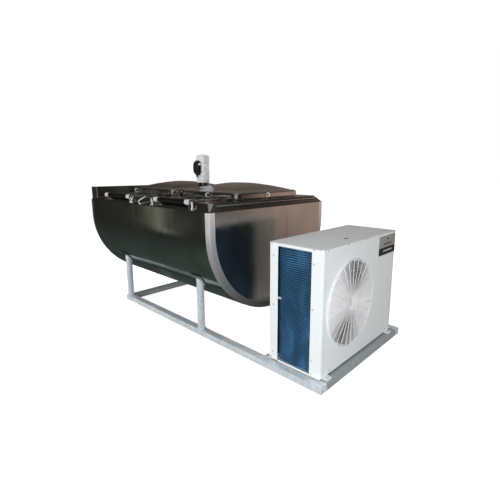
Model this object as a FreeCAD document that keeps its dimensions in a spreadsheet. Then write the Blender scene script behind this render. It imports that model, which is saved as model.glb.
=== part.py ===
"""Bulk milk tank: a half-barrel cooling tank on a skid frame, with its condensing unit.

Millimetres, +Z up. X runs along the tank towards the condensing unit, -Y is the side that
the lids are hinged on, and the origin is on the floor under the middle of the whole object.
"""
import FreeCAD, Part
import math
import os
import re

import Sketcher

Vector = FreeCAD.Vector
doc = FreeCAD.newDocument("BulkMilkTank")

# ---------------------------------------------------------------- driving dimensions

SIZES = {
    # skid frame, in rectangular tube
    "frame_back": -1025,
    "frame_front": 1440,
    "frame_half": 586,
    "rail_wide": 60,
    "rail_high": 50,
    "rail_wall": 3,
    "cross_unit_back": 925,
    # legs
    "leg_radius": 30,
    "leg_wall": 3,
    "leg_side": 556,
    "leg_back": -980,
    "leg_front": 232,
    "leg_blank": 480,
    "collar_radius": 39,
    "collar_high": 9,
    "saddle_long": 130,
    "saddle_thick": 4,
    "saddle_angle": 13,
    # tank body, a half cylinder with straight walls above its axis
    "tank_mid": -440,
    "tank_long": 2000,
    "shell_radius": 705,
    "shell_axis": 895,
    "shell_wall": 160,
    "sheet": 2,
    "wrapper_thick": 2.5,
    "wrapper_angle": 104,
    "wrapper_long": 1880,
    "trim_size": 50,
    "trim_chamfer": 4,
    "panel_band": 52,
    "seam_side": 150,
    "seam_wide": 4,
    "vessel_inset": 80,
    "vessel_radius": 645,
    "jacket_thick": 3,
    "jacket_long": 1600,
    "jacket_wall": 60,
    # deck, with its sloped shoulder
    "shoulder": 50,
    "shoulder_high": 60,
    "deck_bevel": 30,
    "hatch_long": 640,
    "hatch_wide": 750,
    "hatch_side": 105,
    "hatch_radius": 50,
    "rim_sheet": 3,
    "rim_high": 22,
    "box_long": 128,
    "box_wide": 1396,
    "box_low": 1062,
    "box_high": 1187,
    "bridge_long": 120,
    "bridge_wide": 830,
    "bridge_high": 35,
    # lids
    "lid_left_x": -900,
    "lid_right_x": 20,
    "lid_side": 105,
    "lid_long": 780,
    "lid_wide": 830,
    "lid_gap": 5,
    "lid_sheet": 1.2,
    "lid_wall": 47,
    "lid_radius": 60,
    "crown_inset": 20,
    "crown_long": 160,
    "crown_wide": 60,
    "crown_high": 76,
    "gasket_wide": 12,
    "seat_gap": 0.3,
    "lining_high": 30,
    "handle_radius": 6,
    "handle_bend": 12,
    "handle_reach": 30,
    "handle_low": 1129,
    "handle_top": 1160,
    "handle_left_shift": -270,
    "handle_right_shift": 45,
    # lid hinges
    "hinge_side": -683,
    "hinge_high": 1117,
    "hinge_shift": 50,
    "hinge_long": 500,
    "hinge_radius": 20,
    "hinge_wall": 3,
    "hinge_plug": 22,
    "rod_radius": 6,
    "rod_fit": 0.05,
    "bracket_thick": 6,
    "bracket_gap": 1,
    "bracket_toe": 4,
    "bracket_heel": 37,
    "spring_long": 150,
    "spring_pitch": 10,
    "spring_radius": 12,
    "spring_wire": 2,
    "arm_wide": 40,
    "arm_low": 1120,
    "arm_thick": 8,
    "arm_spread": 200,
    # agitator
    "agitator_side": 30,
    "shaft_radius": 15,
    "shaft_fit": 0.05,
    "shaft_low": 325,
    "shaft_top": 1220,
    "shaft_hole": 20,
    "paddle_reach": 260,
    "paddle_high": 100,
    "paddle_thick": 4,
    "paddle_low": 345,
    "gearbox_high": 85,
    "gearbox_radius": 50,
    "flange_radius": 59,
    "flange_thick": 10,
    "motor_high": 205,
    "motor_core": 54,
    "motor_radius": 64,
    "fin_thick": 2.5,
    "fin_count": 28,
    "cowl_radius": 66,
    "cowl_high": 74,
    "terminal_long": 72,
    "terminal_deep": 54,
    "terminal_high": 140,
    "terminal_low": 1312,
    # outlet and its butterfly valve
    "outlet_x": -1300,
    "outlet_high": 144,
    "outlet_radius": 25.5,
    "outlet_wall": 1.5,
    "outlet_bend": 36,
    "valve_x": -1380,
    "valve_bore": 24,
    "valve_radius": 40,
    "ferrule_end": -1434,
    "ferrule_bore": 25,
    "ferrule_radius": 32,
    "disc_radius": 23.6,
    "disc_thick": 5,
    "stem_radius": 5,
    "stem_fit": 0.05,
    "lever_high": 88,
    "lever_long": 125,
    # condensing unit
    "unit_back": 972,
    "unit_front": 1396,
    "unit_near": -536,
    "unit_far": 493,
    "unit_low": 62,
    "unit_top": 890,
    "unit_skirt": 18,
    "top_sheet": 1.5,
    "foot_wide": 50,
    "foot_wall": 3,
    "foot_inset": 36,
    "foot_reach": 33,
    "unit_panel": 2,
    "unit_corner": 14,
    "pan_high": 6,
    "pan_sheet": 1.5,
    "window_back": 1047,
    "window_front": 1313,
    "window_low": 66,
    "window_top": 868,
    "coil_thick": 40,
    "coil_wall": 3,
    "coil_side": -522,
    "coil_back": 1012,
    "coil_bend": 90,
    "coil_front": 1311,
    "coil_far": 190,
    "coil_low": 70,
    "coil_high": 796,
    "fan_side": -185,
    "fan_high": 478,
    "fan_hole": 285,
    "fan_radius": 262,
    "orifice_long": 62,
    "guard_radius": 300,
    "guard_deep": 14,
    "guard_hub": 55,
    "guard_ring": 4,
    "guard_rings": 12,
    "guard_ribs": 18,
    "hub_radius": 52,
    "blade_thick": 4,
    "blade_angle": 78,
    "blade_pitch": 20,
    "blade_count": 3,
    "control_deep": 150,
    "control_wide": 200,
    # refrigerant lines: where each leaves the unit, drops, and enters the tank's end
    "suction_radius": 9.5,
    "suction_bend": 40,
    "suction_drop": 130,
    "suction_out_side": 410,
    "suction_out_high": 160,
    "suction_in_side": 400,
    "suction_in_high": 520,
    "liquid_radius": 5,
    "liquid_bend": 28,
    "liquid_drop": 70,
    "liquid_out_side": 455,
    "liquid_out_high": 200,
    "liquid_in_side": 430,
    "liquid_in_high": 555,
    "line_hole_long": 120,
    # length of the tools that cut holes
    "cutter_long": 200,
}
LINES = ("suction", "liquid")

sheet = doc.addObject("Spreadsheet::Sheet", "sizes")
for row, (alias, value) in enumerate(SIZES.items(), start=1):
    sheet.set(f"A{row}", alias)
    sheet.set(f"B{row}", str(value))
    sheet.setAlias(f"B{row}", alias)
doc.recompute()

# ---------------------------------------------------------------- helpers

AXIS_TURN = {
    "X": FreeCAD.Rotation(Vector(0, 1, 0), 90),
    "Z": FreeCAD.Rotation(),
}
nodes = []


def size(alias):
    """One driving dimension, read back from the sheet."""
    return float(sheet.get(alias))


def bound(text):
    """An expression over the sheet's aliases, as the document wants it."""
    return re.sub(r"[a-z_]+", lambda word: "sizes." + word[0] if word[0] in SIZES else word[0], text)


def bind(part, **settings):
    """Binds properties to expressions over the sheet."""
    for name, text in settings.items():
        part.setExpression(name, bound(text))


def place(part, x="0", y="0", z="0", turn=None):
    """Turns a part about its own origin and binds the place of that origin."""
    part.Placement = FreeCAD.Placement(Vector(), turn or FreeCAD.Rotation())
    for axis, text in (("x", x), ("y", y), ("z", z)):
        part.setExpression("Placement.Base." + axis, bound(text))
    return part


def node(part):
    """Marks a finished sub-part, whose label names its file."""
    nodes.append(part)
    return part


def box(name, length, width, height, x, y, z, turn=None):
    """A block from its lowest corner."""
    part = doc.addObject("Part::Box", name)
    bind(part, Length=length, Width=width, Height=height)
    return place(part, x, y, z, turn)


def cylinder(name, radius, height, x, y, z, along="Z", angle="360", start=0):
    """A cylinder, or a slice of one; along X its angle is counted from straight down towards +Y."""
    part = doc.addObject("Part::Cylinder", name)
    bind(part, Radius=radius, Height=height, Angle=angle)
    turn = AXIS_TURN[along].multiply(FreeCAD.Rotation(Vector(0, 0, 1), start))
    return place(part, x, y, z, turn)


def cut(name, base, *tools):
    """base without the tools."""
    for count, tool in enumerate(tools, start=1):
        part = doc.addObject("Part::Cut", name if count == len(tools) else f"{name}_cut_{count}")
        part.Base = base
        part.Tool = tool
        base = part
    return part


def fuse(name, *parts):
    """One solid from parts that overlap or touch."""
    part = doc.addObject("Part::MultiFuse", name)
    part.Shapes = list(parts)
    part.Refine = True
    return part


def group(name, parts):
    """Separate solids that share a node."""
    part = doc.addObject("Part::Compound", name)
    part.Links = list(parts)
    return part


def plane(body, role):
    """One of a body's own origin planes."""
    return next(item for item in body.Origin.OriginFeatures if item.Role == role)


def new_body(name, x="0", y="0", z="0", turn=None):
    """A PartDesign body at a bound place."""
    return place(doc.addObject("PartDesign::Body", name), x, y, z, turn)


def outline(body, name, role, points, lift="0"):
    """A closed polygon sketch; every corner is dimensioned from the body's origin."""
    sketch = body.newObject("Sketcher::SketchObject", name)
    sketch.AttachmentSupport = [(plane(body, role), "")]
    sketch.MapMode = "FlatFace"
    sketch.setExpression("AttachmentOffset.Base.z", bound(lift))
    count = len(points)
    angles = [2 * math.pi * index / count for index in range(count)]
    start = [Vector(100 * math.cos(angle), 100 * math.sin(angle), 0) for angle in angles]
    for index in range(count):
        sketch.addGeometry(Part.LineSegment(start[index], start[(index + 1) % count]), False)
    for index in range(count):
        sketch.addConstraint(Sketcher.Constraint("Coincident", index, 2, (index + 1) % count, 1))
    for index, texts in enumerate(points):
        for kind, value, text in zip(("DistanceX", "DistanceY"), start[index], texts):
            number = sketch.addConstraint(Sketcher.Constraint(kind, -1, 1, index, 1, value))
            sketch.setExpression(f"Constraints[{number}]", bound(text))
    return sketch


def pad(body, name, sketch, length, reversed_way=False):
    """A sketch extruded along its normal."""
    feature = body.newObject("PartDesign::Pad", name)
    feature.Profile = sketch
    feature.Reversed = reversed_way
    bind(feature, Length=length)
    return feature


def revolve(body, name, sketch, axis="H_Axis", angle="360", reversed_way=False):
    """A sketch turned about one of its own axes."""
    feature = body.newObject("PartDesign::Revolution", name)
    feature.Profile = sketch
    feature.ReferenceAxis = (sketch, [axis])
    feature.Reversed = reversed_way
    bind(feature, Angle=angle)
    return feature


def turned(name, points, x, y, z, along="Z"):
    """A turned piece: its half section, as (distance along the axis, radius), about that axis."""
    body = new_body(name, x, y, z, AXIS_TURN[along].multiply(FreeCAD.Rotation(Vector(0, 1, 0), -90)))
    sketch = outline(body, name + "_section", "XY_Plane", points)
    revolve(body, name + "_turning", sketch)
    return body


def trough(name, points, wall):
    """A half-barrel piece: its section, as (x from mid tank, radius), swept under the tank's axis
    and carried up as straight walls."""
    body = new_body(name, "tank_mid", "0", "shell_axis")
    sketch = outline(body, name + "_section", "XY_Plane", points)
    revolve(body, name + "_round", sketch, angle="180", reversed_way=True)
    side = pad(body, name + "_wall", sketch, wall)
    other = body.newObject("PartDesign::Mirrored", name + "_walls")
    other.Originals = [side]
    other.MirrorPlane = (plane(body, "XZ_Plane"), [""])
    body.Tip = other
    return body


def rounded(name, length, width, height, radius, x, y, z):
    """A block centred on x and y whose upright edges are rounded."""
    body = new_body(name, x, y, z)
    far_x, far_y = f"({length}) / 2", f"({width}) / 2"
    corners = [(far_x, far_y), ("-" + far_x, far_y), ("-" + far_x, "-" + far_y), (far_x, "-" + far_y)]
    block = pad(body, name + "_block", outline(body, name + "_outline", "XY_Plane", corners), height)
    doc.recompute()
    upright = [
        f"Edge{index}"
        for index, edge in enumerate(block.Shape.Edges, start=1)
        if abs(edge.tangentAt(edge.FirstParameter).z) > 0.99
    ]
    feature = body.newObject("PartDesign::Fillet", name + "_corners")
    feature.Base = (block, upright)
    bind(feature, Radius=radius)
    return body


def frustum(name, base_x, base_y, top_x, top_y, height, x, y, z):
    """A flat-topped pyramid centred on x and y; all four sizes are full widths."""
    part = doc.addObject("Part::Wedge", name)
    for low, high, text in (
        ("Xmin", "Xmax", base_x),
        ("Zmin", "Zmax", base_y),
        ("X2min", "X2max", top_x),
        ("Z2min", "Z2max", top_y),
    ):
        part.setExpression(low, bound(f"-({text}) / 2"))
        part.setExpression(high, bound(f"({text}) / 2"))
    part.setExpression("Ymin", "0")
    bind(part, Ymax=height)
    return place(part, x, y, z, FreeCAD.Rotation(Vector(1, 0, 0), 90))


def bent_path(points, bend):
    """Straight runs joined by tangent arcs of one radius."""
    edges = []
    start = points[0]
    for before, corner, after in zip(points, points[1:], points[2:]):
        into = (corner - before).normalize()
        out = (after - corner).normalize()
        half_turn = into.getAngle(out) / 2
        reach = bend * math.tan(half_turn)
        first = corner - into * reach
        last = corner + out * reach
        inward = (out - into).normalize()
        middle = corner + inward * (bend / math.cos(half_turn) - bend)
        edges.append(Part.LineSegment(start, first).toShape())
        edges.append(Part.Arc(first, middle, last).toShape())
        start = last
    edges.append(Part.LineSegment(start, points[-1]).toShape())
    return Part.Wire(edges)


def rod_shape(points, radius, bend):
    """A round rod along a bent path."""
    path = bent_path([Vector(*point) for point in points], bend)
    way = path.Edges[0].tangentAt(path.Edges[0].FirstParameter)
    profile = Part.Wire(Part.Circle(Vector(*points[0]), way, radius).toShape())
    return path.makePipeShell([profile], True, True)


def shape_node(name, shapes):
    """A sub-part whose shape is made by sweeping, which no primitive does."""
    part = doc.addObject("Part::Feature", name)
    part.Shape = shapes[0] if len(shapes) == 1 else Part.makeCompound(shapes)
    part.Placement = FreeCAD.Placement()
    return node(part)


# ---------------------------------------------------------------- skid frame


def rail(name, length, width, x, y, along):
    """A rectangular tube on the floor, open at its ends."""
    outer = box(name + "_outside", length, width, "rail_high", x, y, "0")
    if along == "X":
        inner = box(name + "_inside", length, f"{width} - 2 * rail_wall", "rail_high - 2 * rail_wall",
                    x, f"{y} + rail_wall", "rail_wall")
    else:
        inner = box(name + "_inside", f"{length} - 2 * rail_wall", width, "rail_high - 2 * rail_wall",
                    f"{x} + rail_wall", y, "rail_wall")
    return cut(name, outer, inner)


def build_frame():
    """Two long rails, three cross rails, four legs with their collars and saddles."""
    long_way = "frame_front - frame_back"
    node(rail("frame_rail_near", long_way, "rail_wide", "frame_back", "-frame_half", "X"))
    node(rail("frame_rail_far", long_way, "rail_wide", "frame_back", "frame_half - rail_wide", "X"))
    crosses = []
    for place_name, x in (("back", "frame_back"), ("unit", "cross_unit_back"),
                          ("front", "frame_front - rail_wide")):
        crosses.append(rail("cross_" + place_name, "rail_wide", "2 * frame_half - 2 * rail_wide",
                            x, "-frame_half + rail_wide", "Y"))
    node(group("frame_cross_rails", crosses))

    seat = "shell_radius + wrapper_thick"
    legs, collars, saddles = [], [], []
    for end in ("back", "front"):
        for side, sign in (("near", "-"), ("far", "")):
            name = f"leg_{end}_{side}"
            x, y = "leg_" + end, sign + "leg_side"
            outer = cylinder(name + "_outside", "leg_radius", "leg_blank", x, y, "rail_high")
            inner = cylinder(name + "_inside", "leg_radius - leg_wall", "leg_blank", x, y, "rail_high")
            barrel = cylinder(name + "_barrel", seat + " + saddle_thick", "2 * saddle_long",
                              x + " - saddle_long", "0", "shell_axis", along="X")
            legs.append(cut(name, outer, inner, barrel))
            ring = turned(name + "_collar", [
                ("0", "leg_radius"), ("0", "collar_radius"), ("3", "collar_radius"),
                ("collar_high", "leg_radius + 2"), ("collar_high", "leg_radius"),
            ], x, y, "rail_high")
            collars.append(ring)
            lean = math.degrees(math.asin(size("leg_side") / size("shell_radius")))
            start = (lean if sign == "" else -lean) - size("saddle_angle") / 2
            outside = cylinder(name + "_saddle_outside", seat + " + saddle_thick", "saddle_long",
                               x + " - saddle_long / 2", "0", "shell_axis", "X", "saddle_angle", start)
            inside = cylinder(name + "_saddle_inside", seat, "saddle_long",
                              x + " - saddle_long / 2", "0", "shell_axis", "X")
            saddles.append(cut(name + "_saddle", outside, inside))
    node(group("support_legs", legs))
    node(group("leg_collars", collars))
    node(group("saddle_plates", saddles))


# ---------------------------------------------------------------- tank body


def mirrored_pairs(points):
    """A section's right half, given outside in, and the same points mirrored to the left."""
    return points + [("-(" + x + ")", radius) for x, radius in reversed(points)]


def line_holes(name):
    """Clearances for the refrigerant lines through the tank's front end."""
    start = "tank_mid + tank_long / 2 - line_hole_long / 2"
    return [cylinder(f"{name}_{line}_hole", f"{line}_radius", "line_hole_long", start,
                     f"{line}_in_side", f"{line}_in_high", "X") for line in LINES]


def build_tank():
    """Outer skin, end panels and trims, foam, cooling jacket and the inner vessel."""
    half = "tank_long / 2"
    drain = cylinder("drain_hole", "outlet_radius", "cutter_long", "outlet_x", "0", "outlet_high")
    skin = trough("outer_skin", mirrored_pairs([
        (f"{half} - trim_size", "shell_radius - sheet"), (f"{half} - trim_size", "shell_radius"),
    ]), "shell_wall")
    node(cut("outer_shell", skin, drain))

    start = -size("wrapper_angle") / 2
    x = "tank_mid - wrapper_long / 2"
    outside = cylinder("wrapper_outside", "shell_radius + wrapper_thick", "wrapper_long",
                       x, "0", "shell_axis", "X", "wrapper_angle", start)
    inside = cylinder("wrapper_inside", "shell_radius", "wrapper_long", x, "0", "shell_axis", "X")
    node(cut("bottom_wrapper", outside, inside, drain))

    trim = [
        ("trim_size", "shell_radius"), ("trim_chamfer", "shell_radius"),
        ("0", "shell_radius - trim_chamfer"), ("0", "shell_radius - trim_size"),
        ("sheet", "shell_radius - trim_size"), ("sheet", "shell_radius - trim_chamfer - 1"),
        ("trim_chamfer + 1", "shell_radius - sheet"), ("trim_size", "shell_radius - sheet"),
    ]
    panel = [("0", "0"), ("0", "shell_radius - trim_size"), ("sheet", "shell_radius - trim_size"),
             ("sheet", "0")]
    for end, sign in (("front", ""), ("rear", "-")):
        node(trough("end_trim_" + end, [(f"{sign}({half} - ({x}))", r) for x, r in trim], "shell_wall"))
        name = "end_panel_" + end
        flat = trough(name + "_flat", [(f"{sign}({half} - ({x}))", r) for x, r in panel], "shell_wall")
        face = f"tank_mid + {sign}({half})"
        x = face + " - 1" if sign == "" else face
        seam = box(name + "_seam", "1", "seam_wide", "2 * shell_radius",
                   x, "seam_side", "shell_axis + shell_wall - panel_band - 2 * shell_radius")
        if end == "rear":
            node(cut(name, flat, seam))
            continue
        band = box(name + "_band", "1", "2 * shell_radius - 2 * trim_size - 4", "panel_band",
                   face, "-(shell_radius - trim_size - 2)", "shell_axis + shell_wall - panel_band")
        node(cut(name, fuse(name + "_sheet", flat, band), seam, *line_holes(name)))

    inner = f"{half} - vessel_inset"
    vessel = trough("vessel_trough", mirrored_pairs([
        (inner + " - sheet", "0"), (inner + " - sheet", "vessel_radius - sheet"),
    ]) + [("-(" + inner + ")", "0"), ("-(" + inner + ")", "vessel_radius"),
          (inner, "vessel_radius"), (inner, "0")], "shell_wall + shoulder_high - sheet")
    drain_bore = cylinder("drain_bore", "outlet_radius - outlet_wall", "cutter_long", "outlet_x", "0",
                          "outlet_high")
    node(cut("inner_vessel", vessel, drain_bore))

    jacket_outside = "vessel_radius + jacket_thick"
    node(trough("evaporator_jacket", mirrored_pairs([
        ("jacket_long / 2", "vessel_radius"), ("jacket_long / 2", jacket_outside),
    ]), "jacket_wall"))
    foam = trough("foam_trough", mirrored_pairs([
        (f"{half} - trim_size", "shell_radius - sheet"),
        (f"{half} - sheet", "shell_radius - trim_size - 1"), (f"{half} - sheet", "0"),
        (inner, "0"), (inner, jacket_outside),
    ][::-1]), "shell_wall - sheet")
    node(cut("insulation_foam", foam, drain, *line_holes("foam")))


# ---------------------------------------------------------------- deck, hatches and bridge


def bevelled(half_x, half_y, bevel, face):
    """A rectangle with each corner cut in two facets."""
    corner = [(half_x, f"{half_y} - {bevel}"), (f"{half_x} - {face}", f"{half_y} - {face}"),
              (f"{half_x} - {bevel}", half_y)]
    flip_x = [("-(" + x + ")", y) for x, y in reversed(corner)]
    upper = corner + flip_x
    return upper + [(x, "-(" + y + ")") for x, y in reversed(upper)]


def deck_block(name, inset):
    """The whole top as a solid block, drawn in by inset on every face but its bottom."""
    body = new_body(name, "tank_mid", "0", "shell_axis + shell_wall")
    half_x, half_y = f"tank_long / 2 - {inset}", f"shell_radius - {inset}"
    low = outline(body, name + "_low", "XY_Plane",
                  bevelled(half_x, half_y, "trim_chamfer + 2", "trim_chamfer / 2"))
    high = outline(body, name + "_high", "XY_Plane",
                   bevelled(half_x + " - shoulder", half_y + " - shoulder", "deck_bevel", "deck_bevel / 3"),
                   f"shoulder_high - {inset}")
    loft = body.newObject("PartDesign::AdditiveLoft", name + "_loft")
    loft.Profile = low
    loft.Sections = [high]
    loft.Ruled = True
    return body


def build_deck():
    """Shouldered deck with two hatches, their rims, the rear box and the agitator bridge."""
    deck_top = "shell_axis + shell_wall + shoulder_high"
    outside = deck_block("deck_outside", "0")
    hatches, rims = [], []
    for side in ("left", "right"):
        x, y = f"lid_{side}_x", "hatch_side"
        hatches.append(rounded(f"hatch_{side}", "hatch_long", "hatch_wide", "cutter_long", "hatch_radius",
                               x, y, deck_top + " - cutter_long / 2"))
        collar = rounded(f"rim_{side}_outside", "hatch_long + 2 * rim_sheet", "hatch_wide + 2 * rim_sheet",
                         "rim_high", "hatch_radius + rim_sheet", x, y, deck_top)
        rims.append(cut(f"rim_{side}", collar, hatches[-1]))
    shaft_hole = cylinder("deck_shaft_hole", "shaft_hole", "cutter_long", "tank_mid", "agitator_side",
                          deck_top + " - cutter_long / 2")
    node(cut("top_deck", outside, deck_block("deck_inside", "sheet"), *hatches, shaft_hole))
    node(group("hatch_rims", rims))

    middle = "tank_mid - tank_long / 2 + 2 + box_long / 2"
    cover = rounded("box_outside", "box_long", "box_wide", "box_high - box_low", "18",
                    middle, "0", "box_low")
    hollow = rounded("box_inside", "box_long - 2 * sheet", "box_wide - 2 * sheet",
                     "box_high - box_low - sheet", "16", middle, "0", "box_low")
    node(cut("rear_deck_box", cover, hollow, outside))

    bridge = rounded("bridge_outside", "bridge_long", "bridge_wide", "bridge_high", "12",
                     "tank_mid", "lid_side", deck_top)
    under = rounded("bridge_inside", "bridge_long - 6", "bridge_wide - 6", "bridge_high - 3", "9",
                    "tank_mid", "lid_side", deck_top)
    node(cut("agitator_bridge", bridge, under, shaft_hole))


# ---------------------------------------------------------------- lids


def upright_handle(foot, way):
    """A small bow handle standing off a lid's wall, from its foot (x, y) in a direction (x, y)."""
    low, top = size("handle_low"), size("handle_top")
    outer = (foot[0] + way[0], foot[1] + way[1])
    return rod_shape([(*foot, low), (*outer, low), (*outer, top), (*foot, top)],
                     size("handle_radius"), size("handle_bend"))


def build_lid(side):
    """One crowned lid with its lining, gasket, handles, hinge arms and hinge tube."""
    prefix = f"lid_{side}_"
    x, y = prefix + "x", "lid_side"
    low = "shell_axis + shell_wall + shoulder_high + lid_gap"

    def crowned(name, inset):
        """Rounded walls with a hipped crown, drawn in by inset on every face but the bottom."""
        walls = rounded(name + "_walls", f"lid_long - 2 * {inset}", f"lid_wide - 2 * {inset}",
                        f"lid_wall - {inset}", f"lid_radius - {inset}", x, y, low)
        crown = frustum(name + "_crown", "lid_long - 2 * crown_inset", "lid_wide - 2 * crown_inset",
                        "crown_long", "crown_wide", "crown_high", x, y, f"{low} + lid_wall - {inset}")
        return fuse(name, walls, crown)

    node(cut(prefix + "shell", crowned(prefix + "outside", "0"), crowned(prefix + "inside", "lid_sheet")))
    lining_low = f"{low} + lining_high - lid_gap"
    node(rounded(prefix + "lining", "lid_long - 2 * lid_sheet", "lid_wide - 2 * lid_sheet", "lid_sheet",
                 "lid_radius - lid_sheet", x, y, lining_low))

    seat = "shell_axis + shell_wall + shoulder_high + rim_high + seat_gap"
    ring = rounded(prefix + "gasket_outside", "hatch_long + gasket_wide", "hatch_wide + gasket_wide",
                   "lining_high - rim_high - seat_gap", "hatch_radius + 6", x, y, seat)
    hole = rounded(prefix + "gasket_inside", "hatch_long - gasket_wide", "hatch_wide - gasket_wide",
                   "lining_high - rim_high - seat_gap", "hatch_radius - 6", x, y, seat)
    node(cut(prefix + "gasket", ring, hole))

    mid_x, mid_y = size(x), size(y)
    near_y, far_y = mid_y - size("lid_wide") / 2 + 1, mid_y + size("lid_wide") / 2 - 1
    shift, reach = size(f"handle_{side}_shift"), size("handle_reach")
    handles = [upright_handle((mid_x + shift, near_y), (0, -reach)),
               upright_handle((mid_x + shift, far_y), (0, reach))]
    if side == "right":
        handles.append(upright_handle((mid_x + size("lid_long") / 2 - 1, mid_y - shift), (reach, 0)))
    raw = doc.addObject("Part::Feature", prefix + "handle_rods")
    raw.Shape = Part.makeCompound(handles)
    node(cut(prefix + "handles", raw, crowned(prefix + "handle_seat", "0")))

    hinge_mid = f"{x} + hinge_shift"
    barrel = cylinder(prefix + "barrel", "hinge_radius", "hinge_long",
                      f"{hinge_mid} - hinge_long / 2", "hinge_side", "hinge_high", "X")
    arms = []
    for index, sign in enumerate(("-", "")):
        blank = box(f"{prefix}arm_{index}_blank", "arm_wide",
                    "lid_side - lid_wide / 2 - hinge_side", "arm_thick",
                    f"{hinge_mid} + {sign}(arm_spread) - arm_wide / 2", "hinge_side", "arm_low")
        arms.append(cut(f"{prefix}arm_{index}", blank, barrel))
    node(group(prefix + "arms", arms))

    half, plug = "hinge_long / 2", "hinge_long / 2 - hinge_plug"
    bore, cavity = "rod_radius + rod_fit", "hinge_radius - hinge_wall"
    node(turned(prefix + "hinge_tube", [
        ("-" + half, bore), ("-" + half, "hinge_radius"), (half, "hinge_radius"), (half, bore),
        (plug, bore), (plug, cavity), (f"-({plug})", cavity), (f"-({plug})", bore),
    ], hinge_mid, "hinge_side", "hinge_high", "X"))


def build_hinges():
    """The fixed side of the lid hinges: pivot rods, brackets and torsion springs."""
    rods, brackets, springs = [], [], []
    shoulder_z = "shell_axis + shell_wall"
    slope = "shoulder_high / shoulder"
    for side in ("left", "right"):
        x = f"lid_{side}_x + hinge_shift"
        reach = "(hinge_long / 2 + bracket_gap)"
        rods.append(cylinder(f"rod_{side}", "rod_radius", f"2 * ({reach} + bracket_thick)",
                             f"{x} - {reach} - bracket_thick", "hinge_side", "hinge_high", "X"))
        for end, start in (("back", f"{x} - {reach} - bracket_thick"), ("front", f"{x} + {reach}")):
            name = f"bracket_{side}_{end}"
            body = new_body(name + "_plate", start, "0", "0")
            profile = outline(body, name + "_outline", "YZ_Plane", [
                ("-(shell_radius - bracket_toe)", f"{shoulder_z} + bracket_toe * {slope}"),
                ("-(shell_radius - bracket_heel)", f"{shoulder_z} + bracket_heel * {slope}"),
                ("hinge_side + 16", "hinge_high + 8"),
                ("hinge_side + 7", "hinge_high + 17"),
                ("hinge_side - 7", "hinge_high + 17"),
                ("hinge_side - 16", "hinge_high + 8"),
                ("hinge_side - 20", "hinge_high - 22"),
            ])
            pad(body, name + "_pad", profile, "bracket_thick")
            hole = cylinder(name + "_hole", "rod_radius", "3 * bracket_thick",
                            f"{start} - bracket_thick", "hinge_side", "hinge_high", "X")
            brackets.append(cut(name, body, hole))
        length = size("spring_long")
        start = size(f"lid_{side}_x") + size("hinge_shift") - length / 2
        coil = Part.makeLongHelix(size("spring_pitch"), length, size("spring_radius"))
        end = Part.Circle(Vector(size("spring_radius"), 0, 0), Vector(0, 1, 0), size("spring_wire"))
        shape = Part.Wire(coil.Edges).makePipeShell([Part.Wire(end.toShape())], True, True)
        shape.Placement = FreeCAD.Placement(Vector(start, size("hinge_side"), size("hinge_high")),
                                            AXIS_TURN["X"])
        springs.append(shape)
    node(group("lid_pivot_rods", rods))
    node(group("hinge_brackets", brackets))
    shape_node("lid_springs", springs)


# ---------------------------------------------------------------- agitator


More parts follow.
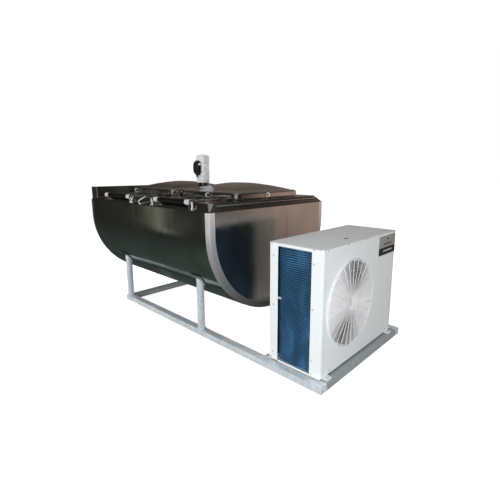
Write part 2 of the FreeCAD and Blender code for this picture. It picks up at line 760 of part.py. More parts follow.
def build_agitator():
    """Gearmotor on the bridge, shaft seal, and the shaft with its paddle."""
    bridge_top = "shell_axis + shell_wall + shoulder_high + bridge_high"
    here = ("tank_mid", "agitator_side")
    bore = "shaft_radius + shaft_fit"
    node(turned("gearbox_housing", [
        ("0", bore), ("0", "flange_radius"), ("flange_thick", "flange_radius"),
        ("flange_thick", "gearbox_radius"), ("gearbox_high - 6", "gearbox_radius"),
        ("gearbox_high", "gearbox_radius + 4"), ("gearbox_high", "0"), ("gearbox_high - 12", "0"),
        ("gearbox_high - 12", bore),
    ], *here, bridge_top))

    motor_low = bridge_top + " + gearbox_high"
    core = cylinder("motor_core_bar", "motor_core", "motor_high", *here, motor_low)
    collar = cylinder("motor_collar", "motor_radius", "14", *here, motor_low)
    fins = []
    for index in range(int(size("fin_count"))):
        turn = FreeCAD.Rotation(Vector(0, 0, 1), index * 360 / size("fin_count"))
        fin = doc.addObject("Part::Box", f"motor_fin_{index}")
        bind(fin, Length="motor_radius", Width="fin_thick", Height="motor_high - 6")
        fins.append(place(fin, *here, motor_low, turn))
    node(fuse("motor_housing", core, collar, *fins))

    cowl_low = motor_low + " + motor_high"
    node(turned("motor_fan_cowl", [
        ("0", "0"), ("0", "cowl_radius"), ("cowl_high - 20", "cowl_radius"),
        ("cowl_high - 8", "cowl_radius - 5"), ("cowl_high - 2", "cowl_radius - 14"),
        ("cowl_high", "cowl_radius - 26"), ("cowl_high", "0"),
    ], *here, cowl_low))

    case = rounded("terminal_case", "terminal_long", "terminal_deep", "terminal_high", "14",
                   "tank_mid", "agitator_side - motor_radius - terminal_deep / 2 + 8", "terminal_low")
    gland = cylinder("terminal_gland", "11", "26", "tank_mid",
                     "agitator_side - motor_radius - terminal_deep / 2", "terminal_low - 24")
    clear = cylinder("terminal_clear", "cowl_radius", "600", *here, motor_low)
    node(cut("terminal_box", fuse("terminal_blank", case, gland), clear))

    node(turned("shaft_seal", [
        ("0", "shaft_radius + 0.5"), ("0", "shaft_hole + 8"), ("6", "shaft_hole + 8"),
        ("6", "shaft_radius + 0.5"),
    ], *here, "shell_axis + shell_wall + shoulder_high - sheet - 6"))

    node(cylinder("agitator_shaft", "shaft_radius", "shaft_top - shaft_low", *here, "shaft_low"))
    hub = cylinder("paddle_hub", "shaft_radius + 8", "paddle_high", *here, "paddle_low")
    blades = []
    for index, turn in enumerate((0, 180)):
        blade = doc.addObject("Part::Box", f"paddle_blade_{index}")
        bind(blade, Length="paddle_reach", Width="paddle_thick", Height="paddle_high - 10")
        spin = FreeCAD.Rotation(Vector(0, 0, 1), turn)
        lean = FreeCAD.Rotation(Vector(1, 0, 0), -18)
        blades.append(place(blade, *here, "paddle_low + 5", spin.multiply(lean)))
    shaft_room = cylinder("paddle_bore", "shaft_radius", "400", *here, "paddle_low - 100")
    node(cut("agitator_paddle", fuse("paddle_blank", hub, *blades), shaft_room))


# ---------------------------------------------------------------- milk outlet


def build_outlet():
    """Bottom outlet pipe, butterfly valve and its lever."""
    x, low = size("outlet_x"), size("outlet_high")
    top = size("shell_axis") - size("vessel_radius") + size("sheet") / 2
    path = [(x, 0, top), (x, 0, low), (size("valve_x") + 30, 0, low)]
    outer = rod_shape(path, size("outlet_radius"), size("outlet_bend"))
    inner = rod_shape(path, size("outlet_radius") - size("outlet_wall"), size("outlet_bend"))
    raw = doc.addObject("Part::Feature", "outlet_tube")
    raw.Shape = outer.cut(inner)
    barrel = cylinder("outlet_barrel", "vessel_radius", "cutter_long", "outlet_x - cutter_long / 2", "0",
                      "shell_axis", "X")
    node(cut("outlet_pipe", raw, barrel))

    ferrule = "valve_x - ferrule_end"
    casing = turned("valve_casing", [
        ("30", "valve_bore"), ("30", "valve_bore + 4"), ("15", "valve_bore + 4"), ("15", "valve_radius"),
        ("-15", "valve_radius"), ("-15", "valve_bore + 4"), (f"-({ferrule} - 6)", "valve_bore + 4"),
        (f"-({ferrule} - 6)", "ferrule_radius"), (f"-({ferrule})", "ferrule_radius"),
        (f"-({ferrule})", "ferrule_bore"), ("-28", "ferrule_bore"), ("-28", "valve_bore"),
    ], "valve_x", "0", "outlet_high", "X")
    boss = cylinder("valve_boss", "11", "outlet_high - lever_high - valve_bore - 10", "valve_x", "0",
                    "lever_high + 9")
    stem_hole = cylinder("valve_stem_hole", "stem_radius + stem_fit", "outlet_high - lever_high",
                         "valve_x", "0", "lever_high")
    node(cut("valve_body", fuse("valve_blank", casing, boss), stem_hole))

    plate = cylinder("disc_plate", "disc_radius", "disc_thick", "valve_x - disc_thick / 2", "0",
                     "outlet_high", "X")
    stem = cylinder("disc_stem", "stem_radius", "outlet_high - lever_high", "valve_x", "0", "lever_high")
    node(fuse("valve_disc", plate, stem))
    lever = box("lever_bar", "22", "lever_long", "7", "valve_x - 11", "-14", "lever_high")
    lever_hole = cylinder("lever_hole", "stem_radius", "20", "valve_x", "0", "lever_high - 5")
    node(cut("valve_handle", lever, lever_hole))


# ---------------------------------------------------------------- condensing unit


def end_sheet(name, sheet_x, centre_x, near_start, far_start):
    """One end of the cabinet: a flat sheet with a rounded post at each side."""
    high = "unit_top - top_sheet - unit_low"
    parts = [box(name + "_sheet", "unit_panel", "unit_far - unit_near - 2 * unit_corner", high,
                 sheet_x, "unit_near + unit_corner", "unit_low")]
    for side, y, start in (("near", "unit_near + unit_corner", near_start),
                           ("far", "unit_far - unit_corner", far_start)):
        outside = cylinder(f"{name}_{side}_outside", "unit_corner", high, centre_x, y, "unit_low",
                           angle="90", start=start)
        inside = cylinder(f"{name}_{side}_inside", "unit_corner - unit_panel", high, centre_x, y, "unit_low")
        parts.append(cut(f"{name}_{side}_post", outside, inside))
    return fuse(name, *parts)


def build_cabinet():
    """Feet, base pan and the cabinet's panels."""
    deep, wide = "unit_front - unit_back", "unit_far - unit_near"
    feet = []
    for side, y in (("near", "unit_near + foot_inset"), ("far", "unit_far - foot_inset - foot_wide")):
        outside = box(f"foot_{side}_outside", f"{deep} + 2 * foot_reach", "foot_wide",
                      "unit_low - rail_high", "unit_back - foot_reach", y, "rail_high")
        inside = box(f"foot_{side}_inside", f"{deep} + 2 * foot_reach - 2 * foot_wall",
                     "foot_wide - 2 * foot_wall", "unit_low - rail_high - foot_wall",
                     "unit_back - foot_reach + foot_wall", f"{y} + foot_wall", "rail_high")
        feet.append(cut(f"foot_{side}", outside, inside))
    node(group("unit_feet", feet))
    centre = ("(unit_back + unit_front) / 2", "(unit_near + unit_far) / 2")
    outside = rounded("pan_outside", f"{deep} - 2 * unit_panel", f"{wide} - 2 * unit_panel", "pan_high",
                      "unit_corner - unit_panel", *centre, "unit_low")
    inside = rounded("pan_inside", f"{deep} - 2 * unit_panel - 2 * pan_sheet",
                     f"{wide} - 2 * unit_panel - 2 * pan_sheet", "pan_high",
                     "unit_corner - unit_panel - pan_sheet", *centre, "unit_low + pan_sheet")
    node(cut("unit_base_pan", outside, inside))

    flank = (f"{deep} - 2 * unit_corner", "unit_panel", "unit_top - top_sheet - unit_low")
    side_sheet = box("side_sheet", *flank, "unit_back + unit_corner", "unit_near", "unit_low")
    window = box("side_window", "window_front - window_back", "20", "window_top - window_low",
                 "window_back", "unit_near - 10", "window_low")
    node(cut("unit_side_frame", side_sheet, window))
    node(box("unit_service_panel", *flank, "unit_back + unit_corner", "unit_far - unit_panel", "unit_low"))

    front = end_sheet("front_end", "unit_front - unit_panel", "unit_front - unit_corner", -90, 0)
    tube = cylinder("orifice_outside", "fan_hole + 2", "orifice_long",
                    "unit_front - unit_panel - orifice_long", "fan_side", "fan_high", "X")
    bore = cylinder("orifice_bore", "fan_hole", "3 * orifice_long",
                    "unit_front - 2 * orifice_long", "fan_side", "fan_high", "X")
    node(cut("unit_front_panel", fuse("front_blank", front, tube), bore))

    rear = end_sheet("rear_end", "unit_back", "unit_back + unit_corner", 180, 90)
    back_window = box("back_window", "20", "coil_far - unit_near - 60", "window_top - window_low",
                      "unit_back - 10", "unit_near + 50", "window_low")
    node(cut("unit_rear_panel", rear, back_window))

    low = (*centre, "unit_top - unit_skirt")
    outside = rounded("top_outside", f"{deep} + 2 * top_sheet", f"{wide} + 2 * top_sheet", "unit_skirt",
                      "unit_corner + top_sheet", *low)
    inside = rounded("top_inside", deep, wide, "unit_skirt - top_sheet", "unit_corner", *low)
    node(cut("unit_top_panel", outside, inside))


def coil_block(name, inset):
    """The L-shaped block of the coil, drawn in by an inset on every face."""
    centre_x, centre_y = "coil_back + coil_bend", "coil_side + coil_bend"
    low, high = f"coil_low + {inset}", f"coil_high - 2 * {inset}"
    thick = f"coil_thick - 2 * {inset}"
    side = box(name + "_side", f"coil_front - {inset} - ({centre_x})", thick, high,
               centre_x, f"coil_side + {inset}", low)
    back = box(name + "_back", thick, f"coil_far - {inset} - ({centre_y})", high,
               f"coil_back + {inset}", centre_y, low)
    bend = cylinder(name + "_bend", f"coil_bend - {inset}", high, centre_x, centre_y, low,
                    angle="90", start=180)
    core = cylinder(name + "_core", f"coil_bend - coil_thick + {inset}", high, centre_x, centre_y, low)
    return fuse(name, side, back, cut(name + "_corner", bend, core))


def build_coil():
    """The finned coil along the near side and the back: a hollow block with the coil's real weight."""
    node(cut("condenser_coil", coil_block("coil_outside", "0"), coil_block("coil_inside", "coil_wall")))


def build_fan():
    """Fan guard, rotor, motor and its bracket."""
    here = ("fan_side", "fan_high")

    def ring(name, outer, inner, depth, x):
        """A flat ring about the fan's axis."""
        return cut(name, cylinder(name + "_outside", outer, depth, x, *here, "X"),
                   cylinder(name + "_inside", inner, depth, x, *here, "X"))

    x = "unit_front + 4"
    parts = [ring("guard_edge", "guard_radius", "guard_radius - 9", "guard_deep", "unit_front"),
             cylinder("guard_cap", "guard_hub", "6", x, *here, "X")]
    count = int(size("guard_rings"))
    for index in range(1, count):
        radius = f"guard_hub + (guard_radius - 9 - guard_hub) * {index} / {count}"
        parts.append(ring(f"guard_ring_{index}", f"{radius} + guard_ring", radius, "6", x))
    for index in range(int(size("guard_ribs"))):
        rib = doc.addObject("Part::Box", f"guard_rib_{index}")
        bind(rib, Length="5", Width="3", Height="guard_radius - 5")
        turn = FreeCAD.Rotation(Vector(1, 0, 0), 360 * index / size("guard_ribs"))
        parts.append(place(rib, x, *here, turn))
    node(fuse("fan_guard", *parts))

    hub_x = "unit_front - 74"
    hub = cylinder("rotor_hub", "hub_radius", "52", hub_x, *here, "X")
    blades = []
    for index in range(int(size("blade_count"))):
        blade = doc.addObject("Part::Cylinder", f"rotor_blade_{index}")
        bind(blade, Radius="fan_radius", Height="blade_thick", Angle="blade_angle")
        spin = FreeCAD.Rotation(Vector(1, 0, 0), 360 * index / size("blade_count"))
        lean = FreeCAD.Rotation(Vector(0, 0, 1), size("blade_pitch"))
        centred = FreeCAD.Rotation(Vector(1, 0, 0), -size("blade_angle") / 2)
        turn = spin.multiply(lean).multiply(centred).multiply(AXIS_TURN["X"])
        blades.append(place(blade, hub_x + " + 26", *here, turn))
    shaft_room = cylinder("rotor_bore", "8.05", "46", hub_x, *here, "X")
    room = cylinder("rotor_room", "fan_radius", "66", "unit_front - 74", *here, "X")
    swept = doc.addObject("Part::Common", "rotor_swept")
    swept.Base = fuse("rotor_blank", hub, *blades)
    swept.Tool = room
    node(cut("fan_rotor", swept, shaft_room))

    motor_x = "unit_front - 176"
    casing = cylinder("fan_motor_case", "46", "92", motor_x, *here, "X")
    spindle = cylinder("fan_spindle", "8", "140", motor_x, *here, "X")
    node(fuse("fan_motor", casing, spindle))
    node(box("fan_motor_bracket", "4", "60", "unit_top - top_sheet - unit_low - pan_sheet",
             motor_x + " - 4", "fan_side - 30", "unit_low + pan_sheet"))


def build_cooling():
    """Compressor, control box and the lines to the tank's cooling jacket."""
    low = "unit_low + pan_sheet"
    node(turned("compressor", [
        ("0", "0"), ("0", "88"), ("6", "88"), ("6", "70"), ("20", "78"), ("240", "78"), ("262", "70"),
        ("278", "50"), ("286", "20"), ("286", "0"),
    ], "unit_back + 210", "unit_far - 145", low))
    node(rounded("control_box", "control_deep", "control_wide", "control_wide", "8", "unit_front - 110",
                 "unit_far - 130", "unit_top - 240"))

    tank_end = size("tank_mid") + size("tank_long") / 2
    line_end = tank_end - size("line_hole_long") / 2 + 20
    tubes = []
    for line in LINES:
        out = (size(line + "_out_side"), size(line + "_out_high"))
        into = (size(line + "_in_side"), size(line + "_in_high"))
        drop = tank_end + size(line + "_drop")
        tubes.append(rod_shape([(size("unit_back"), *out), (drop, *out), (drop, *into), (line_end, *into)],
                               size(line + "_radius"), size(line + "_bend")))
    shape_node("refrigerant_lines", tubes)


# ---------------------------------------------------------------- build, check and write

build_frame()
build_tank()
build_deck()
for lid in ("left", "right"):
    build_lid(lid)
build_hinges()
build_agitator()
build_outlet()
build_cabinet()
build_coil()
build_fan()
build_cooling()
doc.recompute()

for item in doc.Objects:
    if "Invalid" in item.State or "Error" in item.State:
        raise RuntimeError(f"{item.Name} failed: {item.State}")
os.makedirs("parts", exist_ok=True)
for part in nodes:
    if part.Shape.isNull() or not part.Shape.isValid():
        raise RuntimeError(f"{part.Label} has no valid shape")
    part.Shape.exportStep(f"parts/{part.Label}.step")
print(f"{len(nodes)} sub-parts written")
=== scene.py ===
"""Looks of the bulk milk tank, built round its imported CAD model. Metres, +X towards the condensing unit."""

import math
import random

import bmesh
import bpy
from mathutils import Matrix, Vector


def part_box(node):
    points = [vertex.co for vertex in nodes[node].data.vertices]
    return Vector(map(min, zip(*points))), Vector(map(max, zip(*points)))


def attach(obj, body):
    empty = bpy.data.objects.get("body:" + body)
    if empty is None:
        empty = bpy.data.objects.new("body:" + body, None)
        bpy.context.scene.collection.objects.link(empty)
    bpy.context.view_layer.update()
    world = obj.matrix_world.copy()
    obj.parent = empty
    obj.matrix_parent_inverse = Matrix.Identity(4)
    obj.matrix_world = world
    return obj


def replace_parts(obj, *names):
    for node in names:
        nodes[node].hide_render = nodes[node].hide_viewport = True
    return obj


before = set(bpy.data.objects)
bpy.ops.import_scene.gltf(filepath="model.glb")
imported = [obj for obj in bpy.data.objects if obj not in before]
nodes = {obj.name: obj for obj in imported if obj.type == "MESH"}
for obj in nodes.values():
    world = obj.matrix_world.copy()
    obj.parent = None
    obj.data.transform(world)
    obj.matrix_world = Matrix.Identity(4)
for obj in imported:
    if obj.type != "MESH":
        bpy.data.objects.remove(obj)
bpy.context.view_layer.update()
random.seed(7)

X, Y, Z = Vector((1, 0, 0)), Vector((0, 1, 0)), Vector((0, 0, 1))


# ---------------------------------------------------------------- camera


def make_camera():
    """The photograph's view: close and wide, over the corner where the condensing unit stands."""
    data = bpy.data.cameras.new("camera")
    data.lens = 25.5
    data.shift_x = -0.0224
    data.shift_y = -0.0243
    data.clip_end = 200
    camera = bpy.data.objects.new("camera", data)
    bpy.context.scene.collection.objects.link(camera)
    bpy.context.scene.camera = camera
    camera.location = (2.499, -2.258, 1.338)
    looking = Vector((-0.6697, 0.7200, -0.1821))
    camera.rotation_euler = looking.to_track_quat("-Z", "Y").to_euler()


make_camera()


# ---------------------------------------------------------------- materials


class Look:
    """A material with one Principled shader, and short ways to put noise, colour and bump on it."""

    def __init__(self, name, colour, metallic, roughness, **sockets):
        self.material = bpy.data.materials.new(name)
        self.material.use_nodes = True
        self.tree = self.material.node_tree
        self.shader = self.tree.nodes["Principled BSDF"]
        self.set("Base Color", (*colour, 1))
        self.set("Metallic", metallic)
        self.set("Roughness", roughness)
        for socket, value in sockets.items():
            self.set(socket.replace("_", " "), value)
        self.place = self.add("ShaderNodeTexCoord").outputs["Object"]
        self.normal = None

    def add(self, kind, **settings):
        made = self.tree.nodes.new(kind)
        for key, value in settings.items():
            setattr(made, key, value)
        return made

    def link(self, source, target):
        self.tree.links.new(source, target)

    def set(self, socket, value):
        self.shader.inputs[socket].default_value = value

    def stretched(self, stretch):
        """Object coordinates, scaled along each axis."""
        mapping = self.add("ShaderNodeMapping")
        mapping.inputs["Scale"].default_value = stretch
        self.link(self.place, mapping.inputs["Vector"])
        return mapping.outputs["Vector"]

    def noise(self, scale, stretch=(1, 1, 1), detail=3.0, distortion=0.0):
        made = self.add("ShaderNodeTexNoise")
        made.inputs["Scale"].default_value = scale
        made.inputs["Detail"].default_value = detail
        made.inputs["Distortion"].default_value = distortion
        self.link(self.stretched(stretch), made.inputs["Vector"])
        return made.outputs["Fac"]

    def cells(self, scale, output="Color"):
        made = self.add("ShaderNodeTexVoronoi", feature="F1")
        made.inputs["Scale"].default_value = scale
        self.link(self.stretched((1, 1, 1)), made.inputs["Vector"])
        return made.outputs[output]

    def ranged(self, source, low, high, start=0.3, end=0.7):
        """Maps start…end of a source to low…high."""
        made = self.add("ShaderNodeMapRange")
        for socket, value in (("From Min", start), ("From Max", end), ("To Min", low), ("To Max", high)):
            made.inputs[socket].default_value = value
        self.link(source, made.inputs["Value"])
        return made.outputs["Result"]

    def ramp(self, source, *stops):
        """A colour ramp: each stop is a place from 0 to 1 and a colour."""
        made = self.add("ShaderNodeValToRGB")
        elements = made.color_ramp.elements
        while len(elements) < len(stops):
            elements.new(0.5)
        for element, (position, colour) in zip(elements, stops):
            element.position = position
            element.color = (*colour, 1)
        self.link(source, made.inputs["Fac"])
        return made.outputs["Color"]

    def mixed(self, factor, first, second):
        made = self.add("ShaderNodeMix", data_type="RGBA")
        for socket, value in (("A", first), ("B", second)):
            target = [i for i in made.inputs if i.name == socket and i.type == "RGBA"][0]
            if isinstance(value, tuple):
                target.default_value = (*value, 1)
            else:
                self.link(value, target)
        self.link(factor, made.inputs["Factor"])
        return [o for o in made.outputs if o.type == "RGBA"][0]

    def plus(self, first, second):
        made = self.add("ShaderNodeMath", operation="ADD")
        for index, value in enumerate((first, second)):
            if isinstance(value, (int, float)):
                made.inputs[index].default_value = value
            else:
                self.link(value, made.inputs[index])
        return made.outputs["Value"]

    def colour(self, source):
        self.link(source, self.shader.inputs["Base Color"])

    def rough(self, source):
        self.link(source, self.shader.inputs["Roughness"])

    def bump(self, source, height):
        """Adds relief: height is how far, in metres, the source's 0…1 stands up."""
        made = self.add("ShaderNodeBump")
        made.inputs["Strength"].default_value = 1.0
        made.inputs["Distance"].default_value = height
        self.link(source, made.inputs["Height"])
        if self.normal is not None:
            self.link(self.normal, made.inputs["Normal"])
        self.normal = made.outputs["Normal"]
        self.link(self.normal, self.shader.inputs["Normal"])


def shade(colour, factor):
    """A colour made darker or paler, never past 1."""
    return tuple(min(1.0, c * factor) for c in colour)


def steel(name, colour, roughness, grain, waves=0.0, smudge=0.06, tint=0.12, metallic=1.0):
    """Stainless sheet or bar: fine grain along one axis, slow waves, and smudges from wiping."""
    look = Look(name, colour, metallic, roughness)
    cloud = look.noise(2.6, detail=4.0, distortion=0.4)
    look.colour(look.ramp(cloud, (0.3, shade(colour, 1 - tint)), (0.7, shade(colour, 1 + tint))))
    lines = look.noise(160.0, grain, detail=2.0)
    wiped = look.noise(7.0, (1, 1, 0.35), detail=6.0, distortion=1.2)
    streaked = look.plus(look.ranged(wiped, -smudge, smudge), look.ranged(lines, -0.02, 0.02))
    look.rough(look.plus(streaked, roughness))
    if waves:
        look.bump(look.noise(1.7, (1, 1, 1.4), detail=1.0), waves)
        look.bump(look.noise(9.0, detail=2.0), waves * 0.06)
    look.bump(lines, 0.00004)
    scratches = look.noise(420.0, (0.02, 0.02, 1.0), detail=1.0)
    look.bump(look.ranged(scratches, 0.0, 1.0, 0.62, 0.75), 0.00002)
    return look.material


def galvanised(name, tone):
    """Zinc-coated steel: pale spangle, dull patches and a little white bloom."""
    look = Look(name, shade((0.50, 0.54, 0.57), tone), 0.35, 0.45)
    spangle = look.cells(75.0)
    fine = look.noise(14.0, detail=6.0, distortion=0.6)
    grey = look.ramp(spangle, (0.0, shade((0.40, 0.445, 0.47), tone)), (1.0, shade((0.52, 0.56, 0.59), tone)))
    look.colour(look.mixed(look.ranged(fine, 0.0, 0.6, 0.45, 0.7), grey, shade((0.60, 0.635, 0.655), tone)))
    look.rough(look.ranged(fine, 0.32, 0.6))
    look.bump(look.noise(60.0, detail=4.0), 0.0003)
    look.bump(look.noise(900.0, detail=2.0), 0.00003)
    return look.material


def paint(name, colour, roughness, dust=0.10):
    """Powder coat or sprayed paint: orange peel, a little dust on it, faint uneven gloss."""
    look = Look(name, colour, 0.0, roughness, Coat_Weight=0.15, Coat_Roughness=0.18)
    dirt = look.noise(4.0, detail=7.0, distortion=0.8)
    dusted = tuple(c * (1 - dust) for c in colour)
    look.colour(look.mixed(look.ranged(dirt, 0.0, 1.0, 0.5, 0.75), colour, dusted))
    look.rough(look.ranged(look.noise(18.0, detail=4.0), roughness - 0.06, roughness + 0.08))
    orange_peel, panel_waves = 0.00006, 0.0008
    look.bump(look.noise(700.0, detail=2.0), orange_peel)
    look.bump(look.noise(3.0, detail=1.0), panel_waves)
    return look.material


def plastic(name, colour, roughness, grain=0.00005):
    """Moulded plastic: fine spark grain and slight flow marks."""
    look = Look(name, colour, 0.0, roughness)
    flow = look.noise(5.0, (1, 1, 3), detail=3.0, distortion=1.5)
    look.colour(look.ramp(flow, (0.3, shade(colour, 0.93)), (0.7, shade(colour, 1.04))))
    look.rough(look.ranged(flow, roughness - 0.05, roughness + 0.07))
    look.bump(look.noise(1500.0, detail=2.0), grain)
    return look.material


def cast_alloy(name, colour, roughness, metallic):
    """Sand-textured die casting under silver paint."""
    look = Look(name, colour, metallic, roughness)
    patch = look.noise(22.0, detail=5.0)
    look.colour(look.ramp(patch, (0.3, shade(colour, 0.86)), (0.7, shade(colour, 1.06))))
    look.rough(look.ranged(patch, roughness - 0.08, roughness + 0.1))
    look.bump(look.noise(380.0, detail=3.0), 0.00012)
    return look.material


def foam_look(name):
    """Cut rigid foam: pale cells, darker where it has aged."""
    look = Look(name, (0.78, 0.66, 0.36), 0.0, 0.9)
    aged = look.noise(6.0, detail=6.0)
    look.colour(look.ramp(aged, (0.3, (0.66, 0.52, 0.26)), (0.7, (0.84, 0.74, 0.46))))
    look.bump(look.cells(420.0, output="Distance"), 0.0006)
    return look.material


def fin_look(name, colour):
    """Coated aluminium fins: blue lacquer over bright metal, patchy with dust."""
    look = Look(name, colour, 0.35, 0.38, Coat_Weight=0.3, Coat_Roughness=0.25)
    patch = look.noise(9.0, (1, 1, 0.4), detail=6.0, distortion=0.5)
    look.colour(look.ramp(
        patch, (0.28, shade(colour, 0.55)), (0.55, colour), (0.75, shade(colour, 1.9))))
    look.rough(look.ranged(patch, 0.28, 0.5))
    look.bump(look.noise(300.0, (1, 1, 0.1), detail=2.0), 0.0001)
    return look.material


def copper_look(name):
    """Drawn copper tube, browned in places."""
    look = Look(name, (0.72, 0.36, 0.22), 1.0, 0.3)
    tarnish = look.noise(16.0, detail=6.0, distortion=0.7)
    look.colour(look.ramp(tarnish, (0.35, (0.34, 0.17, 0.10)), (0.65, (0.80, 0.42, 0.27))))
    look.rough(look.ranged(tarnish, 0.45, 0.22))
    look.bump(look.noise(120.0, (1, 1, 0.2), detail=2.0), 0.00005)
    return look.material


def shade_by_height(material):
    """Painted shade on a tank end's trim: its colour darkened towards the bottom, and a little lighter at the
    top.
    """
    shade_low_height, shade_high_height, low_shade_tone, top_tone = 0.25, 1.02, 0.14, 1.05
    tree = material.node_tree
    shader = tree.nodes["Principled BSDF"]
    split = tree.nodes.new("ShaderNodeSeparateXYZ")
    tree.links.new(tree.nodes["Texture Coordinate"].outputs["Object"], split.inputs[0])
    # painted shade: the trim's colour scaled by height, 0.14 low down up to 1.05 at the top
    painted_shade = tree.nodes.new("ShaderNodeMapRange")
    for socket, value in (("From Min", shade_low_height), ("From Max", shade_high_height),
                          ("To Min", low_shade_tone), ("To Max", top_tone)):
        painted_shade.inputs[socket].default_value = value
    tree.links.new(split.outputs["Z"], painted_shade.inputs["Value"])
    scaled = tree.nodes.new("ShaderNodeVectorMath")
    scaled.operation = "SCALE"
    tree.links.new(shader.inputs["Base Color"].links[0].from_socket, scaled.inputs[0])
    tree.links.new(painted_shade.outputs["Result"], scaled.inputs["Scale"])
    tree.links.new(scaled.outputs["Vector"], shader.inputs["Base Color"])
    return material


LOOKS = {
    "shell": steel("polished_shell", (0.40, 0.395, 0.38), 0.12, (1, 1, 0.02), waves=0.0030, smudge=0.04),
    "deck": steel("polished_deck", (0.38, 0.37, 0.35), 0.13, (0.02, 1, 1), waves=0.006),
    "trim": steel("bright_trim", (0.84, 0.83, 0.82), 0.38, (1, 0.03, 0.03), tint=0.05, metallic=0.6),
    # the end trim carries painted shade, darker towards the bottom
    "end_trim": shade_by_height(steel("trim_painted_shade", (0.84, 0.83, 0.82), 0.38, (1, 1, 0.03), metallic=0.6)),
    "inside": steel("satin_inside", (0.66, 0.67, 0.67), 0.30, (1, 1, 0.02), waves=0.001),
    "bar": steel("satin_bar", (0.60, 0.60, 0.59), 0.28, (0.05, 1, 1)),
    "end_sheet": steel("end_sheet", (0.40, 0.395, 0.38), 0.17, (1, 1, 0.02), waves=0.0030, metallic=0.98),
    "satin_box": steel("satin_box", (0.26, 0.25, 0.235), 0.34, (0.02, 1, 1), waves=0.004),
    # bottom wrapper: a darker copy of the shell steel (0.25 against 0.40), painted shade
    "wrapper": steel("wrapper_steel_painted_shade", (0.25, 0.255, 0.26), 0.14, (0.02, 1, 1), waves=0.0015),
    "bright": steel("bright_bar", (0.92, 0.92, 0.91), 0.20, (1, 1, 0.05), tint=0.04, metallic=0.45),
    "dark_tube": steel("dark_tube", (0.13, 0.13, 0.13), 0.32, (0.03, 1, 1)),
    "spring": steel("oiled_spring", (0.25, 0.25, 0.25), 0.35, (1, 1, 1)),
    "galvanised": galvanised("galvanised_steel", 1.62),
    # a darker copy of the galvanised steel for the cross rails: painted shade
    "shaded_zinc": galvanised("shaded_zinc", 0.85),
    "white": paint("white_powder_coat", (0.76, 0.79, 0.80), 0.36, dust=0.05),
    "grey_top": paint("pale_grey_coat", (0.50, 0.515, 0.52), 0.42, dust=0.06),
    "rear_coat": paint("warm_rear_coat", (0.92, 0.88, 0.83), 0.5, dust=0.05),
    "screw": paint("painted_screw", (0.52, 0.54, 0.55), 0.4, dust=0.05),
    "grey": paint("grey_enamel", (0.45, 0.47, 0.48), 0.45),
    "black_paint": paint("black_enamel", (0.02, 0.02, 0.022), 0.35, dust=-0.8),
    "pale_plastic": plastic("pale_moulding", (0.80, 0.795, 0.81), 0.42),
    "black_plastic": plastic("black_moulding", (0.012, 0.012, 0.014), 0.28),
    "plate_grey": plastic("plate_grey", (0.27, 0.27, 0.265), 0.45),
    "rubber": plastic("black_rubber", (0.02, 0.02, 0.02), 0.7, 0.0001),
    "alloy": cast_alloy("silver_casting", (0.95, 0.95, 0.95), 0.28, 0.25),
    "rotor": plastic("dark_rotor", (0.035, 0.036, 0.040), 0.4),
    "foam": foam_look("rigid_foam"),
    "fins": fin_look("blue_fins", (0.030, 0.095, 0.205)),
    "tubes": fin_look("blue_tubes", (0.09, 0.25, 0.42)),
    # the coil's block behind the fins: a darker copy of the fin coating, painted shade between the fins
    "coil_core_painted_shade": fin_look("coil_core_painted_shade", (0.032, 0.048, 0.085)),
    "copper": copper_look("copper_tube"),
}

CAD_LOOKS = {
    "galvanised": "frame_rail_near frame_rail_far support_legs leg_collars",
    # the cross rails get the darker galvanised copy: painted shade
    "shaded_zinc": "frame_cross_rails",
    "shell": "outer_shell saddle_plates",
    "end_sheet": "end_panel_front end_panel_rear",
    "wrapper": "bottom_wrapper",
    # the bottom wrapper gets the darker steel: painted shade
    "satin_box": "rear_deck_box",
    "deck": "top_deck lid_left_shell lid_right_shell agitator_bridge",
    "trim": "hatch_rims",
    "end_trim": "end_trim_front",
    "inside": "inner_vessel evaporator_jacket lid_left_lining lid_right_lining agitator_shaft"
              " agitator_paddle outlet_pipe valve_body valve_disc valve_handle",
    "bright": "lid_left_handles lid_right_handles lid_pivot_rods",
    "bar": "lid_left_arms lid_right_arms hinge_brackets end_trim_rear",
    "dark_tube": "lid_left_hinge_tube lid_right_hinge_tube gearbox_housing",
    "spring": "lid_springs",
    "rubber": "lid_left_gasket lid_right_gasket shaft_seal",
    "foam": "insulation_foam",
    "alloy": "motor_housing motor_fan_cowl",
    "black_plastic": "terminal_box",
    "white": "unit_feet unit_base_pan unit_side_frame unit_front_panel unit_top_panel"
             " unit_service_panel",
    "rear_coat": "unit_rear_panel",
    "pale_plastic": "fan_guard",
    "rotor": "fan_rotor",
    "grey": "fan_motor fan_motor_bracket control_box",
    "black_paint": "compressor",
    "coil_core_painted_shade": "condenser_coil",
    "copper": "refrigerant_lines",
}


def dress_cad():
    """Every CAD node gets its finished material."""
    for look, names in CAD_LOOKS.items():
        for name in names.split():
            materials = nodes[name].data.materials
            materials.clear()
            materials.append(LOOKS[look])


dress_cad()


# ---------------------------------------------------------------- mesh tools


def piece(name, shape, look, body, smooth=40):
    """Turns a bmesh into an object that rides on a CAD body."""
    bmesh.ops.recalc_face_normals(shape, faces=shape.faces)
    mesh = bpy.data.meshes.new(name)
    shape.to_mesh(mesh)
    shape.free()
    made = bpy.data.objects.new(name, mesh)
    bpy.context.scene.collection.objects.link(made)
    mesh.materials.append(LOOKS[look])
    if smooth:
        mesh.shade_smooth()
        mesh.set_sharp_from_angle(angle=math.radians(smooth))
    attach(made, body)
    return made


def facing(direction, origin, spin=0.0):
    """A placement whose local Z points along a direction."""
    turn = Vector(direction).to_track_quat("Z", "Y").to_matrix().to_4x4()
    return Matrix.Translation(origin) @ turn @ Matrix.Rotation(spin, 4, "Z")


